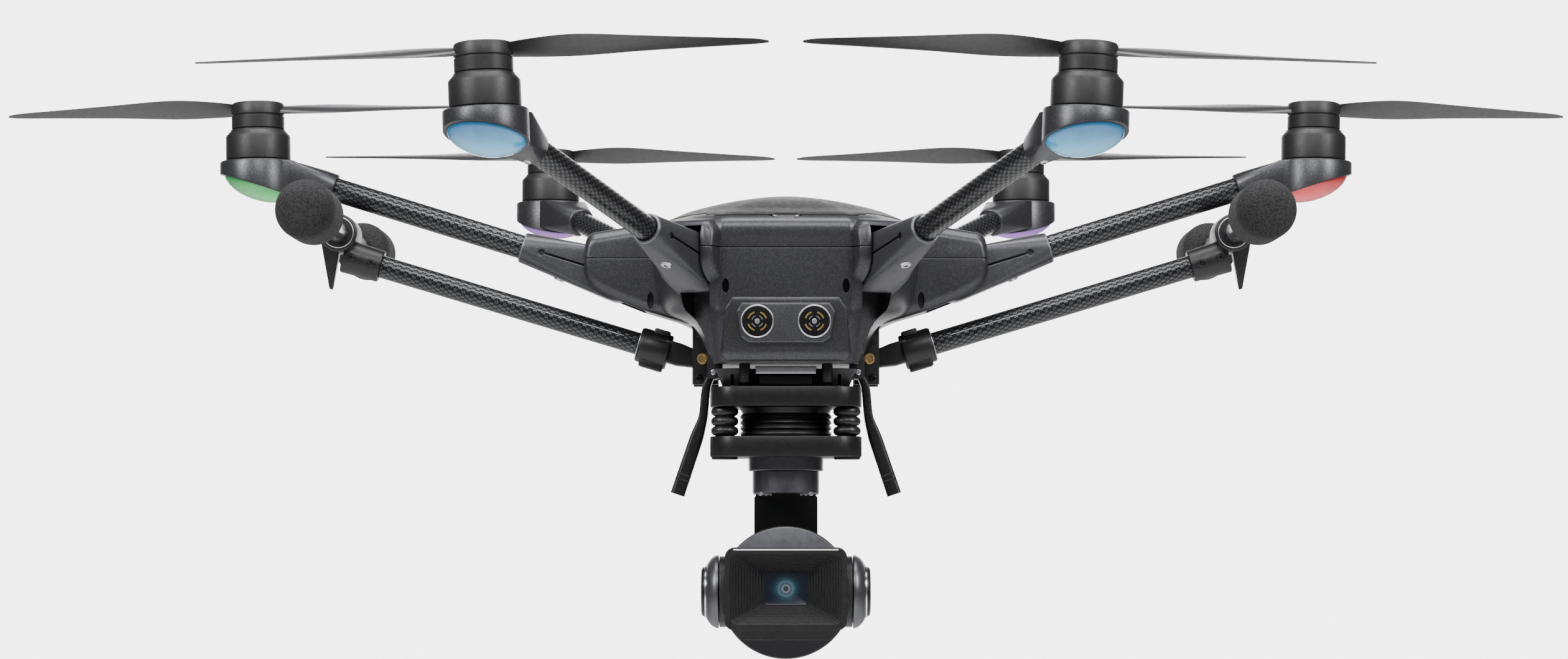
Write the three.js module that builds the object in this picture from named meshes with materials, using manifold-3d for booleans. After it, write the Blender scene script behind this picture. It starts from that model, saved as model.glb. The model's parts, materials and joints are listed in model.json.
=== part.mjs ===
// Six-arm folding camera drone in millimetres: +Z up, front facing -Y, +X to the right seen from the front.
import * as THREE from 'three';
import Module from 'manifold-3d';
import { ConvexGeometry } from 'three/addons/geometries/ConvexGeometry.js';
import { mergeVertices, toCreasedNormals } from 'three/addons/utils/BufferGeometryUtils.js';

const wasm = await Module();
wasm.setup();

// Arms: angle of each about the centre, and how far each motor head leans outward.
const ARMS = [
  { name: 'fr', angle: -60, lean: 2.5, spin: 1 },
  { name: 'mr', angle: 0, lean: 1, spin: -1 },
  { name: 'rr', angle: 60, lean: 0, spin: 1 },
  { name: 'rl', angle: 120, lean: 0, spin: -1 },
  { name: 'ml', angle: 180, lean: -1, spin: 1 },
  { name: 'fl', angle: -120, lean: -2.5, spin: -1 },
];
const MOTOR_RADIUS = 260; // centre of the drone to each motor
const FOLD = [82, 46.5]; // fold pin: distance out, height
const ARM_SLOPE = 17.15; // degrees
const TUBE_R = 5.9;
const TUBE_WALL = 1.1;
const TUBE_START = 34; // along the arm from the fold pin
const TUBE_VISIBLE = 49.2;
const SLIT_END = 39.6; // the relief hole of each knuckle's slits
const COLLAR_START = 146.5;
const TUBE_END = 156;
const RING_R = 18.8;
const RING_TOP = 103.6;
const PROP_R = 124;
const SLOT_HALF = 10.6;
const SLOT_START = 68.9;
const SEAM = 54.5;

// Gimbal: yaw axis and the height of the lens.
const YAW_Y = -45;
const LENS_Z = -107.3;
const PITCH_Y = -50;

// Landing gear.
const GEAR_PIN = [40.6, 5.5];
const GEAR_SLOPE = 16.7;
const FOOT = [219.2, 67.6];
const LEG_R = 5.5;
const LEG_DROP = -1.4; // height of the leg's axis over the line through the pin at the leg's slope
const SOCKET_START = 165; // along the leg from the pin
const SOCKET_END = 186;
const LEG_END = 177;

// Antennas.
const ANTENNA_PIN = [34.4, -2.6];
const ANTENNA_Y = -40;

const rad = (degrees) => (degrees * Math.PI) / 180;

const MATERIALS = {
  shell: { color: 0x3a3c40, roughness: 0.45, metalness: 0.35 },
  plastic: { color: 0x4a4c50, roughness: 0.5, metalness: 0.1 },
  black: { color: 0x101012, roughness: 0.45, metalness: 0.2 },
  carbon: { color: 0x1b1c1f, roughness: 0.35, metalness: 0.2 },
  foam: { color: 0x18181a, roughness: 0.95, metalness: 0 },
  rubber: { color: 0x161616, roughness: 0.8, metalness: 0 },
  metal: { color: 0x9a9ca0, roughness: 0.3, metalness: 0.9 },
  board: { color: 0x16402a, roughness: 0.6, metalness: 0.1 },
};

// A welded solid from any closed geometry.
function solid(geometry) {
  const bare = geometry.clone();
  bare.deleteAttribute('normal');
  bare.deleteAttribute('uv');
  const merged = mergeVertices(bare, 1e-4);
  const index = merged.index.array;
  const triangles = [];
  for (let i = 0; i < index.length; i += 3) {
    const [a, b, c] = [index[i], index[i + 1], index[i + 2]];
    if (a !== b && b !== c && c !== a) triangles.push(a, b, c);
  }
  const mesh = new wasm.Mesh({
    numProp: 3,
    vertProperties: new Float32Array(merged.attributes.position.array),
    triVerts: new Uint32Array(triangles),
  });
  return new wasm.Manifold(mesh);
}

// The drawable geometry of a welded solid.
function shape(manifold) {
  const mesh = manifold.getMesh();
  const geometry = new THREE.BufferGeometry();
  geometry.setAttribute('position', new THREE.BufferAttribute(new Float32Array(mesh.vertProperties), 3));
  geometry.setIndex(new THREE.BufferAttribute(new Uint32Array(mesh.triVerts), 1));
  return toCreasedNormals(geometry, 0.6);
}

const join = (...parts) => parts.reduce((all, part) => all.add(part));
const cut = (whole, ...parts) => parts.reduce((left, part) => left.subtract(part), whole);

// A body turned about +Z from [radius, height] points, from the axis at the bottom to the axis at the top.
function turned(points, sides = 24) {
  const profile = points.map(([r, z]) => new THREE.Vector2(r, z));
  return new THREE.LatheGeometry(profile, sides).rotateX(Math.PI / 2);
}

const disc = (r, z0, z1, sides = 24) => turned([[0, z0], [r, z0], [r, z1], [0, z1]], sides);

function box(x0, x1, y0, y1, z0, z1) {
  const geometry = new THREE.BoxGeometry(x1 - x0, y1 - y0, z1 - z0);
  return geometry.translate((x0 + x1) / 2, (y0 + y1) / 2, (z0 + z1) / 2);
}

// The tightest body around a list of [x, y, z] points.
function hull(points) {
  return new ConvexGeometry(points.map(([x, y, z]) => new THREE.Vector3(x, y, z)));
}

const corners = (x0, x1, y0, y1, z0, z1) =>
  [x0, x1].flatMap((x) => [y0, y1].flatMap((y) => [z0, z1].map((z) => [x, y, z])));

// A body through rings of equal point count, bottom ring first, each anticlockwise from above.
function lofted(rings) {
  const count = rings[0].length;
  const points = rings.flat();
  const middle = (ring) => [0, 1, 2].map((k) => ring.reduce((sum, p) => sum + p[k], 0) / count);
  points.push(middle(rings[0]), middle(rings[rings.length - 1]));
  const triangles = [];
  for (let level = 0; level + 1 < rings.length; level += 1) {
    for (let i = 0; i < count; i += 1) {
      const a = level * count + i;
      const b = level * count + ((i + 1) % count);
      triangles.push(a, b, b + count, a, b + count, a + count);
    }
  }
  const last = (rings.length - 1) * count;
  for (let i = 0; i < count; i += 1) {
    const next = (i + 1) % count;
    triangles.push(points.length - 2, next, i, points.length - 1, last + i, last + next);
  }
  const geometry = new THREE.BufferGeometry();
  geometry.setAttribute('position', new THREE.Float32BufferAttribute(points.flat(), 3));
  geometry.setIndex(triangles);
  return geometry.toNonIndexed();
}

// A closed outline in x and y, rounded at its corners, raised between two heights.
function slab(width, depth, radius, z0, z1, steps = 3) {
  const outline = [];
  for (let quarter = 0; quarter < 4; quarter += 1) {
    const sx = quarter === 0 || quarter === 3 ? 1 : -1;
    const sy = quarter < 2 ? 1 : -1;
    for (let i = 0; i <= steps; i += 1) {
      const a = (quarter + i / steps) * (Math.PI / 2);
      const x = sx * (width / 2 - radius) + radius * Math.cos(a);
      outline.push([x, sy * (depth / 2 - radius) + radius * Math.sin(a)]);
    }
  }
  return lofted([z0, z1].map((z) => outline.map(([x, y]) => [x, y, z])));
}

function node(parent, name, manifold, material) {
  const mesh = new THREE.Mesh(shape(manifold), new THREE.MeshStandardMaterial(MATERIALS[material]));
  mesh.name = name;
  parent.add(mesh);
  return mesh;
}

const drone = new THREE.Group();
drone.name = 'camera_drone';

// Outlines of the fuselage for x >= 0 from front to rear, by height.
const LOWER_LEVELS = [
  [1, [
    [20, -80], [31, -79.5], [34, -70], [34.5, -42], [35, -20], [35, 10], [35, 45], [34, 74], [31, 88], [20, 92],
  ]],
  [21, [
    [22, -85.5], [33, -84.5], [39, -74], [43, -48], [45, -20], [45, 10], [45, 45], [42, 74], [34, 92], [21, 97],
  ]],
  [30, [
    [22, -86], [33, -85], [44, -76], [54, -50], [60, -20], [60, 10], [57, 45], [48, 76], [36, 93], [22, 98],
  ]],
  [SEAM, [
    [22, -86], [33, -85], [46, -75], [58, -50], [65, -20], [66, 10], [62, 45], [52, 76], [38, 93], [22, 99],
  ]],
];
const UPPER_LEVELS = [
  [SEAM + 0.4, [
    [22, -86], [33, -85], [46, -75], [58, -50], [65, -20], [66, 10], [62, 45], [52, 76], [38, 93], [22, 99],
  ]],
  [68, [
    [22, -85.5], [32, -84], [44, -73], [55, -48], [62, -20], [63, 10], [58, 45], [47, 76], [34, 92], [20, 96],
  ]],
  [75, [
    [18, -64], [27, -61], [38, -53], [47, -36], [52, -15], [52, 12], [48, 44], [39, 68], [28, 82], [17, 86],
  ]],
  [80, [
    [12, -46], [18, -44], [26, -38], [32, -26], [34, -12], [34, 12], [32, 38], [27, 56], [19, 68], [11, 72],
  ]],
  [83, [
    [7, -30], [11, -29], [15, -25], [18, -17], [20, -8], [20, 10], [18, 27], [15, 38], [11, 46], [6, 48],
  ]],
  [85, [
    [3, -14], [5, -13], [6.5, -11], [8, -7], [8.5, -3], [8.5, 6], [8, 13], [6.5, 18], [5, 21], [3, 22],
  ]],
];
const CAVITY_LEVELS = [
  [SEAM, [
    [18, -58], [22, -56], [25, -52], [40, -36], [50, -20], [50, 10], [44, 36], [25, 56], [24, 78], [18, 86],
  ]],
  [67, [
    [15, -56], [19, -54], [25, -48], [36, -34], [44, -18], [44, 10], [40, 34], [26, 54], [22, 70], [14, 76],
  ]],
  [79, [
    [8, -34], [12, -32], [17, -28], [22, -20], [25, -10], [25, 8], [23, 28], [19, 40], [13, 48], [7, 50],
  ]],
];

function fuselage(levels) {
  const rings = levels.map(([z, half]) => {
    const right = half.map(([x, y]) => [x, y, z]);
    const left = [...half].reverse().map(([x, y]) => [-x, y, z]);
    return [...right, ...left];
  });
  return solid(lofted(rings));
}

// The pod that carries one arm: two cheeks under a cowl.
const POD_PROFILE = [
  [30, 24], [45, 22], [70, 29.5], [84, 35], [95, 41], [99, 48.5], [98.5, 60], [96.5, 67], [52, 74.5], [30, 77],
];
function pod(arm) {
  const points = POD_PROFILE.flatMap(([r, z]) => {
    const tight = z > 55 ? z - 4 : z + 3;
    return [[r, 12.5, z], [r, -12.5, z], [r - 1.5, 16.2, tight], [r - 1.5, -16.2, tight]];
  });
  return solid(hull(points).rotateZ(rad(arm.angle)));
}

function slot(arm) {
  const room = join(
    solid(box(SLOT_START, 130, -SLOT_HALF, SLOT_HALF, -20, 64.6)),
    solid(disc(3.6, -14.4, 14.4, 8).rotateX(Math.PI / 2).translate(FOLD[0], 0, FOLD[1])),
  );
  return room.rotate([0, 0, arm.angle]);
}

const pods = join(...ARMS.map(pod));
const slots = join(...ARMS.map(slot));
const below = solid(box(-300, 300, -300, 300, -50, SEAM));
const above = solid(box(-300, 300, -300, 300, SEAM + 0.4, 200));

// Lower shell with the battery bay open to the rear, the belly pad and the two gear pockets.
const BAY_HALF = 23;
const gearPockets = [1, -1].map((side) => {
  const edges = [32.7 * side, 60 * side].sort((a, b) => a - b);
  return solid(box(edges[0], edges[1], -15.2, 15.2, -20, 23));
});
const antennaLugs = [-1, 1].flatMap((side) => {
  const xs = [side * 30.5, side * 37.6].sort((a, b) => a - b);
  return [[-49.4, -47], [-33, -30.6]].map(([y0, y1]) => solid(box(xs[0], xs[1], y0, y1, -5.6, 6)));
});
const lowerShell = cut(
  join(
    fuselage(LOWER_LEVELS),
    pods.intersect(below),
    solid(box(-20, 20, -4, 44, 0, 3)),
    ...antennaLugs,
  ),
  slots,
  solid(box(-BAY_HALF, BAY_HALF, -42, 120, 5.5, SEAM + 5)),
  ...gearPockets,
);
node(drone, 'lower_shell', lowerShell, 'shell');

// Upper shell, hollow, with the pocket for the power button in its front slope.
const BUTTON_AT = [0, -79, 69.6];
const BUTTON_TILT = 17;
const placeButton = (geometry) => geometry.rotateX(rad(BUTTON_TILT)).translate(...BUTTON_AT);
const upperShell = cut(
  join(fuselage(UPPER_LEVELS), pods.intersect(above)),
  slots,
  fuselage(CAVITY_LEVELS),
  solid(placeButton(slab(15.8, 9.8, 4.4, -3.4, 6))),
);
node(drone, 'upper_shell', upperShell, 'shell');
node(drone, 'power_button', solid(placeButton(slab(15, 9, 4.2, -1.8, 0.8))), 'metal');

// Sonar bezel on the front face.
const bezel = hull([
  ...[-88, -86.4].flatMap((y) => {
    const grow = y < -87 ? -1 : 0;
    return [[20.5, 28.5], [23.5, 25], [21, 12], [18, 9.5]].flatMap(([x, z]) => [
      [x + grow, y, z + (z > 19 ? grow : -grow)],
      [-x - grow, y, z + (z > 19 ? grow : -grow)],
    ]);
  }),
]);
node(drone, 'sonar_bezel', solid(bezel), 'black');

// Battery, its latch, and the boards above it.
const BATTERY_HALF = 22.5;
const battery = cut(
  join(
    solid(box(-BATTERY_HALF, BATTERY_HALF, -30, 101, 6, 45)),
    solid(hull([
      ...corners(-27, 27, 99.6, 110, 8, 53),
      ...corners(-24, 24, 110, 114, 12, 50),
    ])),
  ),
  solid(box(-10.5, 10.5, 103, 109.5, 49.4, 60)),
);
node(drone, 'battery', battery, 'plastic');
node(drone, 'battery_latch', solid(slab(20, 5.6, 1.5, 51.4, 55.4, 2).translate(0, 106.25, 0)), 'black');
node(drone, 'chassis_plate', solid(box(-22.7, 22.7, -40, 84, 45.6, 47.6)), 'carbon');
const board = join(
  solid(box(-20, 20, -34, 52, 48, 49.6)),
  ...[[-8, -18, 9], [9, -20, 6], [0, 6, 12], [-10, 34, 7], [10, 32, 7]].map(([x, y, half]) =>
    solid(box(x - half, x + half, y - half, y + half, 49.2, 53))),
);
node(drone, 'main_board', board, 'board');

// Arms. Each is drawn pointing along +X and turned to its place.
const alongArm = (geometry) => geometry.rotateY(-rad(ARM_SLOPE)).translate(FOLD[0], 0, FOLD[1]);
const rod = (r, s0, s1, sides = 16) => disc(r, s0, s1, sides).rotateY(Math.PI / 2);

function pipe(r, wall, s0, s1) {
  const inner = r - wall;
  return turned([[inner, s0], [r, s0], [r, s1], [inner, s1], [inner, s0]], 16).rotateY(Math.PI / 2);
}

function circlePoints(r, s, sides = 12) {
  return Array.from({ length: sides }, (_, i) => {
    const a = (i / sides) * 2 * Math.PI;
    return [s, r * Math.cos(a), r * Math.sin(a)];
  });
}

function knuckle() {
  const barrel = Array.from({ length: 16 }, (_, i) => {
    const a = (i / 16) * 2 * Math.PI;
    return [-10, 10].map((y) => [12.3 * Math.cos(a), y, 12.3 * Math.sin(a)]);
  }).flat();
  const beam = hull([...barrel, ...circlePoints(7.4, TUBE_VISIBLE)]);
  const slits = [-20, 7].flatMap((y) => [
    solid(box(18, SLIT_END, y, y + 13, -0.5, 0.5)),
    solid(disc(1.8, y, y + 13, 10).rotateX(-Math.PI / 2).translate(SLIT_END, 0, 0)),
  ]);
  const body = cut(solid(beam), solid(rod(TUBE_R + 0.3, TUBE_START - 0.6, 60)), ...slits);
  const pin = solid(disc(3, -14, 14, 8).rotateX(Math.PI / 2));
  return join(body, pin);
}

// Ring that holds the motor, its collar on the tube, and the lamp dome under it.
function motorMount(arm) {
  const lowest = [261, 91.6];
  const tilt = 18;
  const under = solid(box(-60, 60, -40, 40, -40, 0).rotateY(-rad(tilt)).translate(lowest[0], 0, lowest[1]));
  const ring = cut(solid(disc(RING_R, 80, RING_TOP, 20).translate(MOTOR_RADIUS, 0, 0)), under);
  const domeProfile = [[0, -6.9], [7, -6.2], [13, -3.8], [16.2, 0], [16.2, 1], [0, 1]];
  const dome = solid(turned(domeProfile, 16).rotateY(-rad(tilt)).translate(lowest[0] - 1, 0, lowest[1] - 0.3));
  const boss = solid(disc(6, RING_TOP - 3, 108.4, 8).translate(MOTOR_RADIUS, 0, 0));
  const collarRing = (s, r) => {
    const points = circlePoints(r, s);
    const geometry = new THREE.BufferGeometry();
    geometry.setAttribute('position', new THREE.Float32BufferAttribute(points.flat(), 3));
    alongArm(geometry);
    const list = geometry.attributes.position;
    return points.map((_, i) => [list.getX(i), list.getY(i), list.getZ(i)]);
  };
  const collar = solid(hull([
    ...collarRing(COLLAR_START, 7.4),
    ...collarRing(COLLAR_START + 6, 7.6),
    ...corners(244, 249, -13.5, 13.5, 88.6, RING_TOP - 0.2),
  ]));
  const head = leaned(join(ring, dome, boss), arm);
  return cut(join(head, collar), solid(alongArm(rod(TUBE_R + 0.3, COLLAR_START - 2, TUBE_END + 0.6))));
}

// Leans a motor head outward in the plane of X and Z of the whole drone.
function leaned(manifold, arm) {
  const pivot = [MOTOR_RADIUS, 0, 98];
  return manifold
    .translate(pivot.map((value) => -value))
    .rotate([0, 0, arm.angle])
    .rotate([0, arm.lean, 0])
    .rotate([0, 0, -arm.angle])
    .translate(pivot);
}

const MOTOR_PROFILE = [
  [0, 109.2], [6.9, 109.2], [6.9, 104], [15.8, 104], [15.8, 116], [12.9, 119.2], [0, 119.2],
];

// Two blades: [distance out, chord, twist in degrees, thickness, sweep of the chord's middle].
const BLADE = [
  [8, 12, 20, 3.4, 0],
  [20, 17, 20, 2.8, 1],
  [42, 24, 16, 2.2, 2],
  [70, 20, 12, 1.8, 1],
  [100, 14, 9, 1.4, -1.5],
  [118, 9, 8, 1.1, -3.5],
  [PROP_R, 4, 7, 0.9, -5],
];
function propeller(arm) {
  const rings = BLADE.map(([out, chord, twist, thick, sweep]) => {
    const t = rad(twist) * arm.spin;
    return [[-0.5, 0], [-0.2, -0.35], [0.25, -0.3], [0.5, 0], [0.25, 0.4], [-0.2, 0.55]].map(([u, v]) => {
      const along = u * chord * arm.spin + sweep * arm.spin;
      const up = v * thick;
      return [out, along * Math.cos(t) - up * Math.sin(t), 129 + along * Math.sin(t) + up * Math.cos(t)];
    });
  });
  const ordered = arm.spin > 0 ? rings : rings.map((ring) => [...ring].reverse());
  const blade = solid(lofted(ordered));
  const hub = solid(turned([
    [0, 119.3], [12.9, 119.3], [12.9, 131.4], [11.8, 132.6], [0, 132.6],
  ], 16));
  return join(hub, blade, blade.rotate([0, 0, 180]));
}

for (const arm of ARMS) {
  const group = new THREE.Group();
  group.name = `arm_${arm.name}`;
  group.rotation.z = rad(arm.angle);
  drone.add(group);
  const root = knuckle().rotate([0, -ARM_SLOPE, 0]).translate([FOLD[0], 0, FOLD[1]]);
  node(group, `knuckle_${arm.name}`, root, 'plastic');
  const tube = solid(alongArm(pipe(TUBE_R, TUBE_WALL, TUBE_START, TUBE_END)));
  node(group, `tube_${arm.name}`, tube, 'carbon');
  node(group, `mount_${arm.name}`, motorMount(arm), 'shell');
  const motor = solid(turned(MOTOR_PROFILE, 18)).translate([MOTOR_RADIUS, 0, 0]);
  node(group, `motor_${arm.name}`, leaned(motor, arm), 'black');
  const blades = propeller(arm).rotate([0, 0, -arm.angle]).translate([MOTOR_RADIUS, 0, 0]);
  node(group, `propeller_${arm.name}`, leaned(blades, arm), 'black');
}

// Landing gear, drawn for the right side and mirrored. Along the leg, s runs from the gear pin.
function gearBracket() {
  const plate = (y0, y1) => solid(box(33.2, 45.6, y0, y1, -7, 22.4));
  const body = join(
    plate(-14.6, -11.4),
    plate(11.4, 14.6),
    solid(box(33.2, 34.8, -14.6, 14.6, 1.6, 22.4)),
    solid(box(33.2, 45.6, -14.6, 14.6, 20.4, 22.4)),
  );
  const pin = solid(disc(2.2, -15, 15, 12).rotateX(Math.PI / 2).translate(GEAR_PIN[0], 0, GEAR_PIN[1]));
  return join(body, pin);
}

function legClamp() {
  const eye = disc(5, -10.8, 10.8, 16).rotateX(Math.PI / 2);
  const link = join(solid(eye), solid(box(0, 20, -8, 8, -3.6, 3)));
  const block = solid(box(16, 34, -9, 9, LEG_DROP - 8.2, LEG_DROP + 8.2));
  const whole = cut(
    join(link, block),
    solid(disc(2.5, -20, 20, 12).rotateX(Math.PI / 2)),
    solid(rod(LEG_R + 0.3, 18, 40).translate(0, 0, LEG_DROP)),
  );
  return placedOnLeg(whole);
}

function placedOnLeg(manifold) {
  return manifold.rotate([0, -GEAR_SLOPE, 0]).translate([GEAR_PIN[0], 0, GEAR_PIN[1]]);
}

const FOOT_S = Math.hypot(FOOT[0] - GEAR_PIN[0], FOOT[1] - GEAR_PIN[1]);
const FOOT_RISE = Math.atan2(FOOT[1] - GEAR_PIN[1], FOOT[0] - GEAR_PIN[0]) - rad(GEAR_SLOPE);
const FOOT_LOCAL = [FOOT_S * Math.cos(FOOT_RISE), FOOT_S * Math.sin(FOOT_RISE)];

function footTee() {
  const [x, z] = FOOT_LOCAL;
  const socket = hull([
    ...circlePoints(7.6, SOCKET_START).map(([s, a, b]) => [s, a, b + LEG_DROP]),
    ...circlePoints(8.2, SOCKET_END).map(([s, a, b]) => [s, a, b + LEG_DROP]),
  ]);
  const barrel = disc(9, -12, 12, 20).rotateX(Math.PI / 2).translate(x, 0, z);
  const fin = hull([
    ...corners(x - 1.4, x + 7.2, -4, 4, z - 7.2, z - 5),
    ...corners(x - 4, x - 2.8, -1.2, 1.2, z - 27.2, z - 26.4),
  ]);
  const whole = cut(
    join(solid(socket), solid(barrel), solid(fin)),
    solid(disc(5.3, -20, 20, 16).rotateX(Math.PI / 2).translate(x, 0, z)),
    solid(rod(LEG_R + 0.3, SOCKET_START - 2, LEG_END + 1).translate(0, 0, LEG_DROP)),
  );
  return placedOnLeg(whole);
}

const PAD = [[5.4, 0], [11, 1.2], [13.9, 6], [13.9, 44], [11, 48.8], [5.4, 50]];
function footBar() {
  const bar = solid(disc(5, -134, 145, 12).rotateX(Math.PI / 2));
  const pad = (y) => solid(turned([[0, 0], ...PAD, [0, 50]], 14).rotateX(-Math.PI / 2).translate(0, y, 0));
  return join(bar, pad(-147), pad(86)).translate([FOOT[0], 0, FOOT[1]]);
}

for (const side of [1, -1]) {
  const letter = side > 0 ? 'r' : 'l';
  const placed = (manifold) => (side > 0 ? manifold : manifold.mirror([1, 0, 0]));
  const leg = solid(pipe(LEG_R, 1, 19, LEG_END).translate(0, 0, LEG_DROP));
  node(drone, `gear_bracket_${letter}`, placed(gearBracket()), 'black');
  node(drone, `leg_clamp_${letter}`, placed(legClamp()), 'black');
  node(drone, `leg_tube_${letter}`, placed(placedOnLeg(leg)), 'carbon');
  node(drone, `foot_tee_${letter}`, placed(footTee()), 'black');
  node(drone, `foot_bar_${letter}`, placed(footBar()), 'foam');
}

// Gimbal, from the belly down.
const atYaw = (geometry) => geometry.translate(0, YAW_Y, 0);
const plateTop = join(
  solid(atYaw(slab(38, 36, 6, -10.4, 0.7))),
  solid(atYaw(slab(72, 60, 14, -19.6, -10))),
);
const gimbalTop = cut(plateTop, solid(box(-18, 18, -70, -56, -8, -3)));
node(drone, 'gimbal_plate_top', gimbalTop, 'black');
node(drone, 'gimbal_latch', solid(box(-17, 17, -68, -59.6, -7.4, -3.6)), 'metal');

const DAMPERS = [['fl', -29, -63], ['fr', 29, -63], ['rear', 0, -20.5]];
const DAMPER = [
  [0, -33.4], [4, -33.4], [5.6, -33.4], [6.5, -31.2], [5.2, -29],
  [6.6, -26.6], [5.2, -24.2], [6.5, -22], [5.6, -19.8], [0, -19.8],
];
for (const [name, x, y] of DAMPERS) {
  node(drone, `damper_${name}`, solid(turned(DAMPER, 10).translate(x, y, 0)), 'rubber');
}
const bellows = turned([[0, -33.4], [17.6, -33.4], [16, -26.6], [17.6, -19.8], [0, -19.8]], 16);
node(drone, 'bellows', solid(atYaw(bellows)), 'rubber');
const gimbalPlate = join(
  solid(atYaw(slab(72, 60, 14, -43.5, -33.6))),
  solid(atYaw(disc(17.9, -48.4, -43, 24))),
);
node(drone, 'gimbal_plate_bottom', gimbalPlate, 'black');

const yawArm = join(
  solid(atYaw(disc(16, -60.7, -48.8, 24))),
  solid(box(-15.5, 15.5, -45, -6, -60.7, -51)),
  solid(hull([
    ...corners(-9, 9, -6.6, -2.5, -54, -53),
    ...corners(-15.5, 15.5, -6.6, -1, LENS_Z, -62),
    ...corners(-9, 9, -6.6, -1, LENS_Z - 15, LENS_Z - 14),
  ])),
  solid(disc(15.2, 0, 8, 24).rotateX(Math.PI / 2).translate(0, -5, LENS_Z)),
);
node(drone, 'yaw_arm', yawArm, 'black');

const PITCH_MOTOR = [[0, 33.6], [17.4, 33.6], [16.4, 35], [11.8, 38], [11.8, 40.3], [0, 40.3]];
const yoke = join(
  solid(box(-37, 37, -17.4, -13.4, LENS_Z - 9, LENS_Z + 9)),
  ...[1, -1].flatMap((side) => {
    const xs = [33.6 * side, 37 * side].sort((a, b) => a - b);
    return [
      solid(box(xs[0], xs[1], PITCH_Y, -13.4, LENS_Z - 9, LENS_Z + 9)),
      solid(turned(PITCH_MOTOR, 20).rotateY((side * Math.PI) / 2).translate(0, PITCH_Y, LENS_Z)),
    ];
  }),
);
node(drone, 'roll_yoke', yoke, 'black');

// Camera body with its stepped square hood cut into the front.
const cameraBody = turned([
  [0, -21], [22, -20], [27, -12], [30.6, 2], [31.2, 6], [31.2, 28.6], [30, 30], [0, 30],
], 28).rotateX(Math.PI / 2).translate(0, PITCH_Y, LENS_Z);
const HOOD = [[52.7, 33.3, 4, 0], [45, 27.5, 3.5, 3], [36, 22.5, 3, 6], [28, 18, 2.5, 9]];
const hoodCuts = HOOD.map(([w, h, r, deep]) => {
  const face = PITCH_Y - 30;
  return solid(slab(w - 4, h - 4, r, -1, deep + 3, 1).rotateX(-Math.PI / 2).translate(0, face, LENS_Z + 1.6));
});
const lens = solid(disc(7.2, 0, 5, 20).rotateX(Math.PI / 2).translate(0, PITCH_Y - 16, LENS_Z + 1.6));
const trunnions = solid(disc(16.6, -33.2, 33.2, 24).rotateY(Math.PI / 2).translate(0, PITCH_Y, LENS_Z));
node(drone, 'camera', join(cut(solid(cameraBody), ...hoodCuts), lens, trunnions), 'black');

// Antennas: bent strips that hang beside the gimbal, by x and z from top to tip.
const ANTENNA = [[34.4, -1.2], [38.4, -9.2], [39.6, -24], [42.6, -33], [52, -61]];
function antenna(side) {
  const path = ANTENNA.map(([x, z], i) => {
    const half = [1.2, 2, 2, 3.1, 3.3][i];
    const deep = i === ANTENNA.length - 1 ? 4 : 6;
    const [front, back] = [ANTENNA_Y - deep, ANTENNA_Y + deep];
    return [[x - half, front, z], [x + half, front, z], [x + half, back, z], [x - half, back, z]];
  }).reverse();
  const strip = solid(lofted(path));
  const eye = disc(3.1, -6.6, 6.6, 14).rotateX(Math.PI / 2);
  const whole = join(strip, solid(eye.translate(ANTENNA_PIN[0], ANTENNA_Y, ANTENNA_PIN[1])));
  return side > 0 ? whole : whole.mirror([1, 0, 0]);
}
node(drone, 'antenna_r', antenna(1), 'black');
node(drone, 'antenna_l', antenna(-1), 'black');

export default drone;
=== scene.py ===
import json
import math

import bmesh
import bpy
from mathutils import Matrix, Vector


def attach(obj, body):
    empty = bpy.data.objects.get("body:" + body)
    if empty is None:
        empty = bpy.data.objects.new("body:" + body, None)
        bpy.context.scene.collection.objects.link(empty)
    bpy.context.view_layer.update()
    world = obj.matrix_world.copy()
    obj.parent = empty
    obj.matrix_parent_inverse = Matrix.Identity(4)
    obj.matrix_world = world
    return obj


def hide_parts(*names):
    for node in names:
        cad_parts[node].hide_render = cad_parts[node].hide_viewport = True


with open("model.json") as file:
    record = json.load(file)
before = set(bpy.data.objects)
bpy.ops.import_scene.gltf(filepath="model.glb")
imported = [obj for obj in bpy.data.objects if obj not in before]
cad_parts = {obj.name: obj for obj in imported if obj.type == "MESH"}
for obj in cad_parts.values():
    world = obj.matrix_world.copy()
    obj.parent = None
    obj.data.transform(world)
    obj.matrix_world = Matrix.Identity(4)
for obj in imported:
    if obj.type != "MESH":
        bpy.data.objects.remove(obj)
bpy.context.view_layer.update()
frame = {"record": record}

MM = 0.001  # shapes are drawn in millimetres and placed in metres
rad = math.radians

# ---------- camera and light

# Focal length, place and tilt follow the photograph.
camera_data = bpy.data.cameras.new("view")
camera_data.lens = 86.3
camera_data.sensor_width = 36.0
camera_data.clip_end = 300.0
camera = bpy.data.objects.new("view", camera_data)
camera.location = (0.0, -1.846, -0.084)
camera.rotation_euler = (rad(90 + 3.245), 0.0, rad(0.0285))
bpy.context.scene.collection.objects.link(camera)
bpy.context.scene.camera = camera


def area_light(name, place, aim, size, power):
    data = bpy.data.lights.new(name, "AREA")
    data.shape = "RECTANGLE"
    data.size, data.size_y = size
    data.energy = power
    lamp = bpy.data.objects.new(name, data)
    lamp.location = place
    lamp.rotation_euler = (Vector(aim) - Vector(place)).to_track_quat("-Z", "Y").to_euler()
    bpy.context.scene.collection.objects.link(lamp)


area_light("key_left", (-1.3, -1.1, 1.0), (0, 0, 0), (0.5, 0.9), 50)
area_light("key_right", (1.3, -1.1, 1.0), (0, 0, 0), (0.5, 0.9), 50)
area_light("front_high", (0.0, -1.5, 1.1), (0, 0, 0), (0.8, 0.3), 22)
area_light("top", (0.0, -0.2, 1.6), (0, 0, 0), (1.6, 0.6), 55)

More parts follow.
